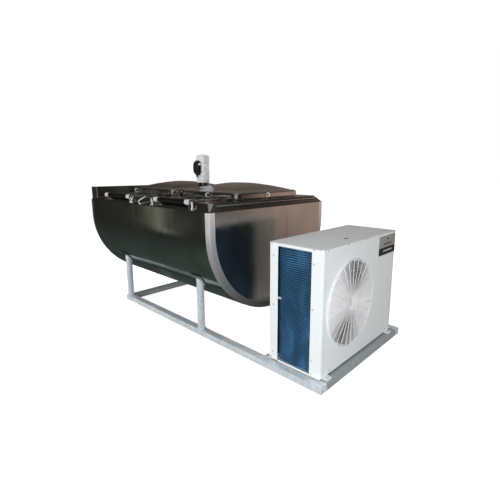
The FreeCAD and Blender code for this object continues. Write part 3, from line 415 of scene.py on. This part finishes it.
def lathe(shape, profile, place, steps=24, closed=False):
    """Turns a profile of (radius, height) pairs round local Z. closed joins its last point to its first."""
    rings = []
    for radius, height in profile:
        if radius < 1e-7:
            rings.append([shape.verts.new(place @ Vector((0, 0, height)))])
            continue
        rings.append([
            shape.verts.new(place @ Vector((radius * math.cos(a), radius * math.sin(a), height)))
            for a in (2 * math.pi * k / steps for k in range(steps))
        ])
    pairs = list(zip(rings, rings[1:]))
    if closed:
        pairs.append((rings[-1], rings[0]))
    for low, high in pairs:
        for k in range(steps):
            corners = [low[k % len(low)], low[(k + 1) % steps % len(low)],
                       high[(k + 1) % steps % len(high)], high[k % len(high)]]
            unique = list(dict.fromkeys(corners))
            if len(unique) > 2:
                shape.faces.new(unique)


def slab(shape, size, place, bevel=0.0):
    """A block centred on its placement, with bevelled edges."""
    made = bmesh.ops.create_cube(shape, size=1.0, matrix=place @ Matrix.Diagonal((*size, 1)))
    if bevel:
        edges = {edge for vert in made["verts"] for edge in vert.link_edges}
        bmesh.ops.bevel(shape, geom=list(edges), offset=bevel, segments=2, affect="EDGES",
                        profile=0.5, clamp_overlap=True)


def block(name, size, centre, bevel, look):
    """A piece of the tank that is one block, square to the axes."""
    shape = bmesh.new()
    slab(shape, size, Matrix.Translation(centre), bevel)
    return piece(name, shape, look, "tank")


def ring_round(shape, centre, side, other, radius, sides):
    """A ring of vertices round a point, in the plane of two unit vectors."""
    return [
        shape.verts.new(centre + radius * (side * math.cos(a) + other * math.sin(a)))
        for a in (2 * math.pi * j / sides for j in range(sides))
    ]


def skin(shape, rings, closed=False):
    """Quads from each ring to the next. closed joins the last ring to the first."""
    count = len(rings[0])
    pairs = list(zip(rings, rings[1:]))
    if closed:
        pairs.append((rings[-1], rings[0]))
    for low, high in pairs:
        for j in range(count):
            shape.faces.new((low[j], low[(j + 1) % count], high[(j + 1) % count], high[j]))


def rod(shape, points, radius, bend, sides=12):
    """A round bar through points, its corners rounded to a bend radius."""
    path = rounded_path([Vector(p) for p in points], bend)
    rings = []
    side = None
    for k, point in enumerate(path):
        along = (path[min(k + 1, len(path) - 1)] - path[max(k - 1, 0)]).normalized()
        if side is None:
            side = along.orthogonal().normalized()
        side = (side - along * side.dot(along)).normalized()
        rings.append(ring_round(shape, point, side, along.cross(side), radius, sides))
    skin(shape, rings)
    shape.faces.new(rings[0][::-1])
    shape.faces.new(rings[-1])


def rounded_path(points, bend, steps=6):
    """Points of a path whose corners are quadratic curves that start a bend's length from the corner."""
    path = [points[0]]
    for before, corner, after in zip(points, points[1:], points[2:]):
        reach = min(bend, (corner - before).length / 2, (after - corner).length / 2)
        first = corner + (before - corner).normalized() * reach
        last = corner + (after - corner).normalized() * reach
        for k in range(steps + 1):
            t = k / steps
            path.append(first * (1 - t) ** 2 + corner * 2 * t * (1 - t) + last * t ** 2)
    path.append(points[-1])
    return path


def rounded_ring(shape, centre, half, corner, z, steps=8):
    """The points of a rounded rectangle at one height."""
    made = []
    for sign_x, sign_y, start in ((1, 1, 0), (-1, 1, 90), (-1, -1, 180), (1, -1, 270)):
        for k in range(steps + 1):
            a = math.radians(start + 90 * k / steps)
            made.append(shape.verts.new((
                centre.x + sign_x * (half[0] - corner) + corner * math.cos(a),
                centre.y + sign_y * (half[1] - corner) + corner * math.sin(a), z)))
    return made


def stack(shape, centre, sections, closed=False):
    """Joins rounded rectangles, each (half x, half y, corner, z). closed joins last to first."""
    rings = [rounded_ring(shape, centre, part[:2], part[2], part[3]) for part in sections]
    skin(shape, rings, closed)
    if not closed:
        shape.faces.new(rings[-1])


def hoop(shape, centre, half, corner, z, radius, sides=8):
    """A round cord bent into a rounded rectangle."""
    around = [2 * math.pi * j / sides for j in range(sides)]
    stack(shape, centre, [
        (half[0] + radius * math.cos(a), half[1] + radius * math.cos(a), corner + radius * math.cos(a),
         z + radius * math.sin(a)) for a in around
    ], closed=True)


def bead(shape, points, radius, closed=False, sides=6):
    """A weld bead: a lumpy round cord along a path, half sunk in the joint."""
    count = len(points)
    rings = []
    for k, point in enumerate(points):
        after = points[(k + 1) % count] if closed else points[min(k + 1, count - 1)]
        before = points[(k - 1) % count] if closed else points[max(k - 1, 0)]
        along = (after - before).normalized()
        side = along.orthogonal().normalized()
        thick = radius * (0.85 + 0.3 * random.random() + 0.15 * (k % 2))
        rings.append(ring_round(shape, point, side, along.cross(side), thick, sides))
    skin(shape, rings, closed)
    if not closed:
        shape.faces.new(rings[0][::-1])
        shape.faces.new(rings[-1])


def pan_head(shape, origin, direction, radius=0.005, spin=0.0):
    """A cross-recessed pan-head screw on its washer."""
    place = facing(direction, origin, spin)
    lathe(shape, [(0, -0.001), (radius * 1.5, -0.001), (radius * 1.5, 0.0006), (radius * 1.4, 0.001),
                  (radius, 0.001), (radius * 0.95, radius * 0.45), (radius * 0.7, radius * 0.68),
                  (radius * 0.42, radius * 0.72), (radius * 0.3, radius * 0.3), (0, radius * 0.3)],
          place, steps=16)


def hex_bolt(shape, origin, direction, across, spin=0.0):
    """A hexagon bolt head with its chamfer, on a washer."""
    place = facing(direction, origin, spin)
    corner = across / math.sqrt(3)
    high = across * 0.42
    lathe(shape, [(0, -0.001), (across * 1.0, -0.001), (across * 1.0, 0.0012), (across * 0.94, 0.0018),
                  (corner * 1.02, 0.0018)], place, steps=24)
    lathe(shape, [(0, 0.0018), (corner, 0.0018), (corner, high * 0.85), (corner * 0.86, high), (0, high)],
          place, steps=6)


# ---------------------------------------------------------------- condensing unit


def build_fan_guard():
    """The moulded guard: deep ring fins on thin radial ribs, a hub cap and a raised rim."""
    low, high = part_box("fan_guard")
    centre = Vector((0, (low.y + high.y) / 2, (low.z + high.z) / 2))
    outer = (high.y - low.y) / 2
    face = high.x
    rim, hub = 0.007, 0.018
    span = outer - rim - hub
    place = facing(X, centre)

    rings = bmesh.new()
    ring_count, back, front = 24, face - 0.0095, face - 0.0015
    back_half, front_half = 0.0010, 0.0008
    for k in range(ring_count):
        radius = hub + 0.004 + (span - 0.008) * (k + 0.5) / ring_count
        lathe(rings, [(radius - back_half, back), (radius + back_half, back),
                      (radius + front_half, front), (radius - front_half, front)],
              place, steps=96, closed=True)
    guard_rings = piece("fan_guard_rings", rings, "pale_plastic", "tank")

    spokes = bmesh.new()
    rib_count, rib_deep, rib_wide = 28, 0.0045, 0.0042
    outward = Matrix.Translation((face - 0.0032, 0, (hub + outer - rim) / 2))
    for k in range(rib_count):
        turn = Matrix.Rotation(2 * math.pi * k / rib_count, 4, "X")
        slab(spokes, (rib_deep, rib_wide, span + 0.004),
             Matrix.Translation(centre) @ turn @ outward, 0.0012)
    piece("fan_guard_ribs", spokes, "pale_plastic", "tank")

    edge = bmesh.new()
    floor, root = face - 0.0125, face - 0.0135
    lathe(edge, [(outer - rim, floor), (outer - rim, face - 0.004),
                 (outer - rim * 0.75, face - 0.0008), (outer - rim * 0.4, face),
                 (outer - rim * 0.12, face - 0.003), (outer, face - 0.008), (outer, root),
                 (outer - rim * 0.5, root), (outer - rim * 0.5, floor)],
          place, steps=128, closed=True)
    lathe(edge, [(0, face - 0.001), (hub * 0.55, face - 0.0013), (hub * 0.9, face - 0.0025),
                 (hub * 1.08, face - 0.006), (hub * 1.08, face - 0.014), (0, face - 0.014)],
          place, steps=64)
    piece("fan_guard_rim", edge, "pale_plastic", "tank")
    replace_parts(guard_rings, "fan_guard")


def coil_path():
    """The coil's outside line in plan, from the front end round the bend: (point, outward normal)."""
    low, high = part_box("condenser_coil")
    bend = 0.090
    steps = [(Vector((high.x - 0.002, low.y)), Vector((0, -1)))]
    steps.append((Vector((low.x + bend, low.y)), Vector((0, -1))))
    for k in range(1, 12):
        a = math.radians(90 * k / 12)
        normal = Vector((-math.sin(a), -math.cos(a)))
        steps.append((Vector((low.x + bend, low.y + bend)) + normal * bend, normal))
    steps.append((Vector((low.x, low.y + bend)), Vector((-1, 0))))
    steps.append((Vector((low.x, high.y - 0.002)), Vector((-1, 0))))
    return steps


def walk(steps, pitch):
    """Points a pitch apart along the path, with their outward normals."""
    places = []
    spare = 0.0
    for (a, normal_a), (b, normal_b) in zip(steps, steps[1:]):
        length = (b - a).length
        at = spare
        while at < length:
            t = at / length
            places.append((a.lerp(b, t), normal_a.lerp(normal_b, t).normalized()))
            at += pitch
        spare = at - length
    return places


def build_coil():
    """Upright fins on the outside of the coil block, rows of tube among them, and a seal behind."""
    low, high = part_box("condenser_coil")
    steps = coil_path()
    fins = bmesh.new()
    pitch, stand, taller, thick, inset = 0.0034, 0.0040, 0.0020, 0.0005, 0.002
    for number, (point, normal) in enumerate(walk(steps, pitch)):
        along = Vector((-normal.y, normal.x))
        tip = stand if number % 3 else stand + taller
        corners = []
        for z in (low.z + inset, high.z - inset):
            for side, out in ((-1, -0.001), (1, -0.001), (1, tip), (-1, tip)):
                spot = point + along * side * thick / 2 + normal * out
                corners.append(fins.verts.new((spot.x, spot.y, z)))
        for quad in ((0, 1, 2, 3), (4, 5, 6, 7), (0, 1, 5, 4), (1, 2, 6, 5), (2, 3, 7, 6), (3, 0, 4, 7)):
            fins.faces.new([corners[k] for k in quad])
    piece("coil_fins", fins, "fins", "tank", smooth=0)

    rows = bmesh.new()
    row_pitch, tube_radius, tube_out = 0.0150, 0.0034, 0.0016
    for k in range(int((high.z - low.z) / row_pitch)):
        z = low.z + row_pitch * (k + 0.6)
        line = [Vector((*(p + n * tube_out), z)) for p, n in steps]
        rod(rows, line, tube_radius, bend=0.001, sides=8)
    piece("coil_tubes", rows, "tubes", "tank", smooth=60)

    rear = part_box("unit_rear_panel")[1].x
    seal_thick, seal_wide = 0.003, 0.115
    block("coil_edge_seal", (seal_thick, seal_wide, high.z - low.z),
          ((rear + low.x) / 2, low.y + 0.052, (low.z + high.z) / 2), 0.001, "rubber")


def build_cabinet_screws():
    """Pan-head screws along the edges of the cabinet's panels."""
    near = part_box("unit_side_frame")[0].y
    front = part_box("unit_front_panel")[1].x
    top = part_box("unit_top_panel")[1].z
    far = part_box("unit_service_panel")[1].y
    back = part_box("unit_rear_panel")[0].x
    screws = bmesh.new()
    skirt = 0.0012

    def screw(x, y, z, outward):
        pan_head(screws, (x, y, z), outward, spin=random.random())

    for z in (0.795, 0.505, 0.165):
        screw(1.328, near, z, -Y)
    for x in (0.995, 1.328):
        screw(x, near - skirt, top - 0.009, -Y)
        screw(x, near, 0.074, -Y)
    for z in (0.80, 0.46, 0.12):
        screw(1.01, near, z, -Y)
        screw(back, 0.44, z, -X)
        screw(back, -0.51, z, -X)
        screw(1.02, far, z, Y)
        screw(1.35, far, z, Y)
    for y in (-0.49, -0.245, 0.01, 0.235, 0.46):
        screw(front + skirt, y, top - 0.0085, X)
    for y in (-0.43, 0.0, 0.40):
        screw(front, y, 0.085, X)
    piece("cabinet_screws", screws, "screw", "tank")


def build_rating_plate():
    """A plain plate on the cabinet's front, with blank bars in place of lettering."""
    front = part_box("unit_front_panel")[1].x
    low_y, high_y, low_z, high_z = 0.205, 0.482, 0.780, 0.868
    middle, wide = (low_y + high_y) / 2, high_y - low_y
    block("rating_plate", (0.003, wide, high_z - low_z),
          (front + 0.001, middle, (low_z + high_z) / 2), 0.001, "plate_grey")
    block("rating_strip", (0.004, wide, 0.056),
          (front + 0.0012, middle, low_z - 0.0290), 0.001, "rubber")
    block("rating_bars", (0.001, 0.15, 0.010),
          (front + 0.0034, middle, low_z - 0.0260), 0.0004, "grey_top")
    lines = bmesh.new()
    for length, tall, z in ((0.13, 0.009, 0.806), (0.028, 0.012, 0.844)):
        slab(lines, (0.001, length, tall), Matrix.Translation((front + 0.0028, middle, z)), 0.0004)
    piece("rating_lines", lines, "rubber", "tank")


def build_cabinet_cover():
    """The slot in the top, drawn as a thin black block that is painted shade, and the cover: turned-down
    skirt and edges rounded to a small radius.
    """
    low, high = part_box("unit_top_panel")
    # a black block on the top stands for the shade inside the slot: painted shade
    block("top_slot_painted_shade", (0.018, 0.050, 0.002), (1.296, -0.108, high.z + 0.0002), 0.0009,
          "black_plastic")
    half = (high - low) / 2
    centre = low + half
    cover = bmesh.new()
    wall, corner, edge, steps = 0.0015, 0.0155, 0.007, 6
    sections = [(half.x - wall, half.y - wall, corner - wall, high.z - wall),
                (half.x - wall, half.y - wall, corner - wall, low.z), (half.x, half.y, corner, low.z)]
    for k in range(steps + 1):
        a = math.radians(90 * k / steps)
        inward = edge * (1 - math.cos(a))
        sections.append((half.x - inward, half.y - inward, corner - inward,
                         high.z - edge * (1 - math.sin(a))))
    stack(cover, centre, sections)
    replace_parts(piece("unit_top_cover", cover, "white", "tank"), "unit_top_panel")


def build_cabinet_details():
    """The seams beside the front panel, the brace in the coil's window and the bolts of the feet."""
    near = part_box("unit_side_frame")[0].y
    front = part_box("unit_front_panel")[1].x
    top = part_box("unit_top_panel")[1].z
    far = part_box("unit_service_panel")[1].y
    seams = bmesh.new()
    for y in (near + 0.036, far - 0.036):
        slab(seams, (0.0016, 0.0022, top - 0.100),
             Matrix.Translation((front, y, top / 2 + 0.022)), 0.0006)
    piece("front_seams", seams, "screw", "tank")
    block("window_brace", (0.040, 0.012, 0.012), (1.051, near + 0.011, 0.514), 0.002,
          "screw")

    bolts = bmesh.new()
    foot_low, foot_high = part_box("unit_feet")
    for x in (foot_low.x + 0.016, foot_high.x - 0.016):
        for y in (-0.475, 0.432):
            hex_bolt(bolts, (x, y, foot_high.z - 0.0085), Z, 0.013, spin=random.random())
    piece("foot_bolts", bolts, "bright", "tank")


# ---------------------------------------------------------------- skid and tank details


def ring_points(centre, radius, count):
    """Points of a level circle."""
    return [
        centre + radius * (X * math.cos(a) + Y * math.sin(a))
        for a in (2 * math.pi * k / count for k in range(count))
    ]


def build_skid_welds():
    """Weld beads where the legs meet the rails and where the cross rails meet the long rails."""
    welds = bmesh.new()
    low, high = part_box("support_legs")
    collar_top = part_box("leg_collars")[1].z
    leg_radius, leg_bead, rail_bead = 0.030, 0.0028, 0.0022
    for x in (low.x + leg_radius, high.x - leg_radius):
        for y in (low.y + leg_radius, high.y - leg_radius):
            around = ring_points(Vector((x, y, collar_top)), leg_radius + 0.001, 48)
            bead(welds, around, leg_bead, closed=True)

    rail_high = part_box("frame_rail_near")[1]
    cross_low, cross_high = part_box("frame_cross_rails")
    inner, top = rail_high.y, rail_high.z
    wide, half = 0.060, 0.030
    for x in (cross_low.x, cross_low.x + wide, 0.925, 0.985, cross_high.x - wide, cross_high.x):
        for side in (1, -1):
            line = [Vector((x, side * inner, 0.004 + (top - 0.006) * k / 14)) for k in range(15)]
            bead(welds, line, rail_bead)
    for x in (cross_low.x + half, 0.955, cross_high.x - half):
        for side in (1, -1):
            line = [Vector((x - half + wide * k / 16, side * inner, top)) for k in range(17)]
            bead(welds, line, rail_bead)
    piece("skid_welds", welds, "galvanised", "tank", smooth=60)


def build_lid_shell(side):
    """The pressed lid: a hemmed skirt, a rounded shoulder and a slightly bulged, hipped crown."""
    low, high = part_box(f"lid_{side}_shell")
    half = (high - low) / 2
    centre = low + half
    wall, corner, skirt = 0.0012, 0.060, 0.047
    rim = low.z + skirt
    shape = bmesh.new()
    sections = [(half.x - wall, half.y - wall, corner - wall, low.z + 0.026),
                (half.x - wall, half.y - wall, corner - wall, low.z)]
    for out, up in ((0.0, 0.0), (0.0022, 0.0006), (0.0030, 0.0025), (0.0022, 0.0046), (0.0, 0.0056),
                    (0.0, skirt - 0.012), (-0.0012, skirt - 0.006), (-0.0045, skirt - 0.0018),
                    (-0.0095, skirt + 0.0005)):
        sections.append((half.x + out, half.y + out, corner + out, low.z + up))

    foot_x, foot_y, top_x, top_y = half.x - 0.020, half.y - 0.020, 0.080, 0.030
    foot_corner, corner_loss = 0.052, 0.028
    soft_from, softness, soft_top, bulge = 0.9, 0.75, 0.975, 0.14
    rise = high.z - rim
    for t in (0.0, 0.25, 0.5, 0.75, 0.90, 0.96, 1.0):
        soft = t if t < soft_from else soft_from + (t - soft_from) * softness
        share = soft / soft_top + bulge * math.sin(math.pi * t)
        sections.append((foot_x + (top_x - foot_x) * t, foot_y + (top_y - foot_y) * t,
                         foot_corner - corner_loss * t, rim + 0.001 + (rise - 0.001) * share))
    sections.append((0.060, 0.018, 0.016, high.z))
    stack(shape, centre, sections)

    crest = bmesh.new()
    hoop(crest, centre, (foot_x + 0.004, foot_y + 0.004), foot_corner, rim + 0.0016, 0.0036)
    piece(f"lid_{side}_crest", crest, "bar", f"lid_{side}", smooth=60)
    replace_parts(piece(f"lid_{side}_pressing", shape, "deck", f"lid_{side}", smooth=28),
                f"lid_{side}_shell")


def build_deck_fittings():
    """Narrow folds on the deck's two sloping ends, and the bolts of the bridge and gearbox."""
    low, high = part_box("top_deck")
    fold = bmesh.new()
    for x, lean in ((high.x - 0.012, 45), (low.x + 0.012, -45)):
        place = (Matrix.Translation((x, 0, high.z - 0.0165))
                 @ Matrix.Rotation(math.radians(lean), 4, "Y"))
        slab(fold, (0.007, high.y - low.y - 0.150, 0.003), place, 0.0012)
    piece("deck_fold", fold, "bar", "tank", smooth=60)

    bolts = bmesh.new()
    across, gear_circle = 0.010, 0.074
    low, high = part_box("agitator_bridge")
    for x in (low.x + 0.022, high.x - 0.022):
        for y in (low.y + 0.05, -0.12, 0.22, high.y - 0.05):
            hex_bolt(bolts, (x, y, high.z), Z, across, spin=random.random())
    gear_low, gear_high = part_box("gearbox_housing")
    centre = (gear_low + gear_high) / 2
    for k in range(4):
        a = math.radians(45 + 90 * k)
        hex_bolt(bolts, (centre.x + gear_circle * math.cos(a),
                         centre.y + gear_circle * math.sin(a), high.z), Z, across)
    piece("bridge_bolts", bolts, "bright", "tank")


def build_hinge_fittings():
    """Bright sleeves on the hinge tubes, crossed clamps, a bent catch and an end leg."""
    sleeve, stand = 0.060, 0.0012
    for side in ("left", "right"):
        low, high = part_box(f"lid_{side}_hinge_tube")
        centre = (low + high) / 2
        radius = (high.z - low.z) / 2
        sleeves = bmesh.new()
        for start in (low.x, high.x - sleeve):
            lathe(sleeves, [(radius - 0.001, 0.0), (radius + stand, 0.001), (radius + stand, 0.059),
                            (radius - 0.001, sleeve)],
                  facing(X, (start, centre.y, centre.z)), steps=32, closed=True)
        piece(f"lid_{side}_sleeves", sleeves, "bright", f"lid_{side}")

    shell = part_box("top_deck")[0].y
    straps = bmesh.new()
    tilt = Matrix.Rotation(math.radians(-10), 4, "X")
    for x in (-0.575, -0.215):
        for lean in (38, -38):
            place = (Matrix.Translation((x, shell + 0.012, 1.086)) @ tilt
                     @ Matrix.Rotation(math.radians(lean), 4, "Y"))
            slab(straps, (0.012, 0.003, 0.085), place, 0.001)
    piece("hinge_clamps", straps, "bright", "tank")

    catch = bmesh.new()
    rod(catch, [(-0.335, shell + 0.020, 1.132), (-0.440, shell + 0.006, 1.088),
                (-0.405, shell + 0.004, 1.062)], 0.0055, bend=0.02)
    rod(catch, [(0.330, shell + 0.022, 1.117), (0.352, shell + 0.010, 1.098),
                (0.352, shell + 0.006, 1.062)], 0.0075, bend=0.02)
    piece("hinge_catches", catch, "bright", "tank", smooth=60)


def build_motor_cowl():
    """The domed fan cowl, with one groove near its foot."""
    low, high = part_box("motor_fan_cowl")
    axis = (low + high) / 2
    radius = (high.x - low.x) / 2
    tall = high.z - low.z
    groove, shoulder, dome_in, dome_up, steps = 0.0012, tall - 0.032, 0.034, 0.029, 8
    profile = [(0.0, 0.0), (radius - 0.002, 0.0), (radius, 0.001), (radius, 0.012),
               (radius - groove, 0.013), (radius - groove, 0.0145), (radius, 0.0155), (radius, shoulder)]
    for k in range(1, steps + 1):
        a = math.radians(90 * k / steps)
        profile.append((radius - dome_in * (1 - math.cos(a)), shoulder + dome_up * math.sin(a)))
    profile += [(0.018, tall - 0.0006), (0.0, tall)]
    cap = bmesh.new()
    lathe(cap, profile, Matrix.Translation((axis.x, axis.y, low.z)), steps=64)
    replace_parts(piece("motor_cowl_cap", cap, "alloy", "tank"), "motor_fan_cowl")


def power(value, exponent):
    """A power that keeps the sign."""
    return math.copysign(abs(value) ** exponent, value)


def build_terminal_box():
    """The round-backed terminal moulding with its gland, and the pale plug on its side, set where the
    moulding shows a highlight: a painted highlight.
    """
    low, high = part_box("terminal_box")
    wide, reach, tall = (high.x - low.x) / 2 + 0.008, high.y - low.y, 0.074
    middle = Vector(((low.x + high.x) / 2, high.y, high.z - 0.070))
    shape = bmesh.new()
    rings = []
    sides, steps = 48, 12
    around = [2 * math.pi * j / sides for j in range(sides)]
    for k in range(steps):
        t = math.radians(90 * k / steps)
        grow, out = power(math.cos(t), 0.80), power(math.sin(t), 0.95)
        rings.append([shape.verts.new(middle + Vector((
            wide * grow * power(math.cos(a), 0.62), -reach * out,
            tall * grow * power(math.sin(a), 0.85)))) for a in around])
    rings.append([shape.verts.new(middle + Vector((0, -reach, 0)))])
    for first, second in zip(rings, rings[1:]):
        for j in range(sides):
            corners = [first[j], first[(j + 1) % sides],
                       second[(j + 1) % len(second)], second[j % len(second)]]
            shape.faces.new(list(dict.fromkeys(corners)))
    shape.faces.new(rings[0])
    lathe(shape, [(0, 0), (0.011, 0), (0.011, 0.010), (0.0085, 0.014), (0.0085, 0.026), (0.0, 0.028)],
          facing(-Z, (middle.x, middle.y - 0.018, middle.z - 0.066)), steps=20)
    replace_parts(piece("terminal_moulding", shape, "black_plastic", "tank", smooth=60),
                "terminal_box")

    # pale plug where the moulding has its highlight: painted highlight
    plug = bmesh.new()
    lathe(plug, [(0, -0.008), (0.012, -0.008), (0.0115, 0.0030), (0, 0.0036)],
          facing((0.86, -0.46, 0.22), (middle.x + 0.90 * wide, middle.y - 0.30 * reach, middle.z + 0.034)),
          steps=20)
    piece("terminal_highlight_plug", plug, "pale_plastic", "tank")


build_fan_guard()
build_coil()
build_cabinet_screws()
build_rating_plate()
build_cabinet_cover()
build_cabinet_details()
build_skid_welds()
for lid in ("left", "right"):
    build_lid_shell(lid)
build_deck_fittings()
build_hinge_fittings()
build_motor_cowl()
build_terminal_box()


# ---------------------------------------------------------------- stage and light


def stage_object(name, shape, material):
    """A part of the room: seen by the camera, not mirrored, never exported."""
    mesh = bpy.data.meshes.new(name)
    shape.to_mesh(mesh)
    shape.free()
    made = bpy.data.objects.new(name, mesh)
    bpy.context.scene.collection.objects.link(made)
    mesh.materials.append(material)
    made.visible_glossy = False
    return made


def build_stage():
    """A pale floor, and a plain white surround that only the camera sees."""
    floor_look = Look("pale_floor", (0.60, 0.60, 0.60), 0.0, 0.8)
    floor_look.set("Emission Color", (1, 1, 1, 1))
    floor_look.set("Emission Strength", 0.90)
    floor_look.bump(floor_look.noise(30.0, detail=4.0), 0.0003)
    floor = bmesh.new()
    bmesh.ops.create_circle(floor, cap_ends=True, segments=64, radius=40)
    ground = stage_object("floor", floor, floor_look.material)
    ground.visible_diffuse = False

    glow = bpy.data.materials.new("white_surround")
    glow.use_nodes = True
    shader = glow.node_tree.nodes["Principled BSDF"]
    shader.inputs["Base Color"].default_value = (0, 0, 0, 1)
    shader.inputs["Emission Color"].default_value = (1, 1, 1, 1)
    shader.inputs["Emission Strength"].default_value = 1.0
    dome = bmesh.new()
    bmesh.ops.create_uvsphere(dome, u_segments=48, v_segments=24, radius=60)
    surround = stage_object("surround", dome, glow)
    surround.visible_diffuse = False
    surround.visible_shadow = False


def build_world():
    """The room that the steel mirrors: dark floor and walls, a bright ceiling, a few round paler
    places and one upright strip."""
    world = bpy.data.worlds.new("studio")
    bpy.context.scene.world = world
    world.use_nodes = True
    tree = world.node_tree
    link = tree.links.new
    background = tree.nodes["Background"]

    def add(kind, **settings):
        made = tree.nodes.new(kind)
        for key, value in settings.items():
            setattr(made, key, value)
        return made

    direction = add("ShaderNodeTexCoord").outputs["Generated"]

    def towards(vector):
        """How well a direction agrees with a vector."""
        dot = add("ShaderNodeVectorMath", operation="DOT_PRODUCT")
        dot.inputs[1].default_value = vector
        link(direction, dot.inputs[0])
        return dot.outputs["Value"]

    def mask(source, start, end):
        """A soft step from 0 at start to 1 at end."""
        made = add("ShaderNodeMapRange", interpolation_type="SMOOTHSTEP")
        made.inputs["From Min"].default_value = start
        made.inputs["From Max"].default_value = end
        link(source, made.inputs["Value"])
        return made.outputs["Result"]

    def painted(below, factor, colour):
        """A colour laid over what is below it, where the factor is 1."""
        blend = add("ShaderNodeMix", data_type="RGBA")
        sides = [socket for socket in blend.inputs if socket.type == "RGBA"]
        link(factor, blend.inputs["Factor"])
        link(below, sides[0])
        sides[1].default_value = (*colour, 1)
        return [socket for socket in blend.outputs if socket.type == "RGBA"][0]

    def computed(operation, *sources):
        made = add("ShaderNodeMath", operation=operation)
        for index, source in enumerate(sources):
            link(source, made.inputs[index])
        return made.outputs["Value"]

    split = add("ShaderNodeSeparateXYZ")
    link(direction, split.inputs[0])
    height = add("ShaderNodeMapRange")
    height.inputs["From Min"].default_value = -1
    link(split.outputs["Z"], height.inputs["Value"])
    ramp = add("ShaderNodeValToRGB")
    stops = (
        (-1.00, (0.06, 0.08, 0.07)), (-0.70, (0.07, 0.10, 0.085)), (-0.40, (0.055, 0.072, 0.064)),
        (-0.18, (0.038, 0.040, 0.036)), (0.05, (0.034, 0.032, 0.028)), (0.40, (0.040, 0.036, 0.032)),
        (0.72, (0.06, 0.056, 0.052)), (0.91, (0.48, 0.49, 0.51)), (1.00, (0.62, 0.63, 0.65)),
    )
    elements = ramp.color_ramp.elements
    while len(elements) < len(stops):
        elements.new(0.5)
    for element, (z, colour) in zip(elements, stops):
        element.position = (z + 1) / 2
        element.color = (*colour, 1)
    link(height.outputs["Result"], ramp.inputs["Fac"])
    room = ramp.outputs["Color"]

    # Each place: azimuth, elevation, angle where it is full and angle where it ends, colour.
    for azimuth, elevation, inner, outer, colour in (
        (75, -4, 12, 42, (0.78, 0.57, 0.48)), (52, -22, 5, 16, (0.22, 0.195, 0.18)),
        (130, 10, 10, 27, (0.20, 0.165, 0.14)), (232, -45, 8, 30, (0.12, 0.165, 0.14)),
        (228, -4, 6, 9, (0.55, 0.55, 0.54)), (315, 6, 14, 32, (0.75, 0.75, 0.74)),
    ):
        a, e = math.radians(azimuth), math.radians(elevation)
        near = towards((math.cos(a) * math.cos(e), math.sin(a) * math.cos(e), math.sin(e)))
        spot = mask(near, math.cos(math.radians(outer)), math.cos(math.radians(inner)))
        room = painted(room, spot, colour)

    a = math.radians(210.8)
    narrow = mask(computed("ABSOLUTE", towards((math.sin(a), -math.cos(a), 0))), 0.024, 0.010)
    short = mask(towards((math.cos(a), math.sin(a), -0.03)), 0.972, 0.990)
    room = painted(room, computed("MULTIPLY", narrow, short), (0.48, 0.50, 0.39))
    link(room, background.inputs["Color"])
    background.inputs["Strength"].default_value = 1.0


def area_light(name, place, target, size, power, colour=(1, 1, 1)):
    """A square lamp that points at its target and isn't mirrored."""
    data = bpy.data.lights.new(name, "AREA")
    data.shape = "SQUARE"
    data.size = size
    data.energy = power
    data.color = colour
    light = bpy.data.objects.new(name, data)
    bpy.context.scene.collection.objects.link(light)
    light.location = place
    light.rotation_euler = (Vector(target) - Vector(place)).to_track_quat("-Z", "Y").to_euler()
    light.visible_glossy = False


def build_lights():
    """Soft lamps all round; each is name, place, target, size, power and colour."""
    area_light("key", (3.2, -2.7, 0.95), (1.2, -0.4, 0.6), 1.2, 84, (0.985, 0.99, 1.0))
    area_light("side_fill", (-3.5, -4.0, 2.0), (-0.5, -0.5, 0.5), 2.5, 118, (0.98, 0.99, 1.0))
    area_light("end_fill", (6.0, 1.0, 0.5), (1.4, 0, 0.3), 2.5, 44, (0.78, 0.92, 1.0))
    area_light("low_fill", (-2.2, -4.0, 0.4), (-0.6, -0.6, 0.1), 1.5, 85)
    area_light("overhead", (0, 0, 6.0), (0.2, 0, 0.6), 5.0, 85)
    area_light("back_fill", (-3.0, 5.0, 3.0), (-0.4, 0.5, 0.6), 3.0, 90)


build_stage()
build_world()
build_lights()
bpy.context.scene.view_settings.view_transform = "Standard"
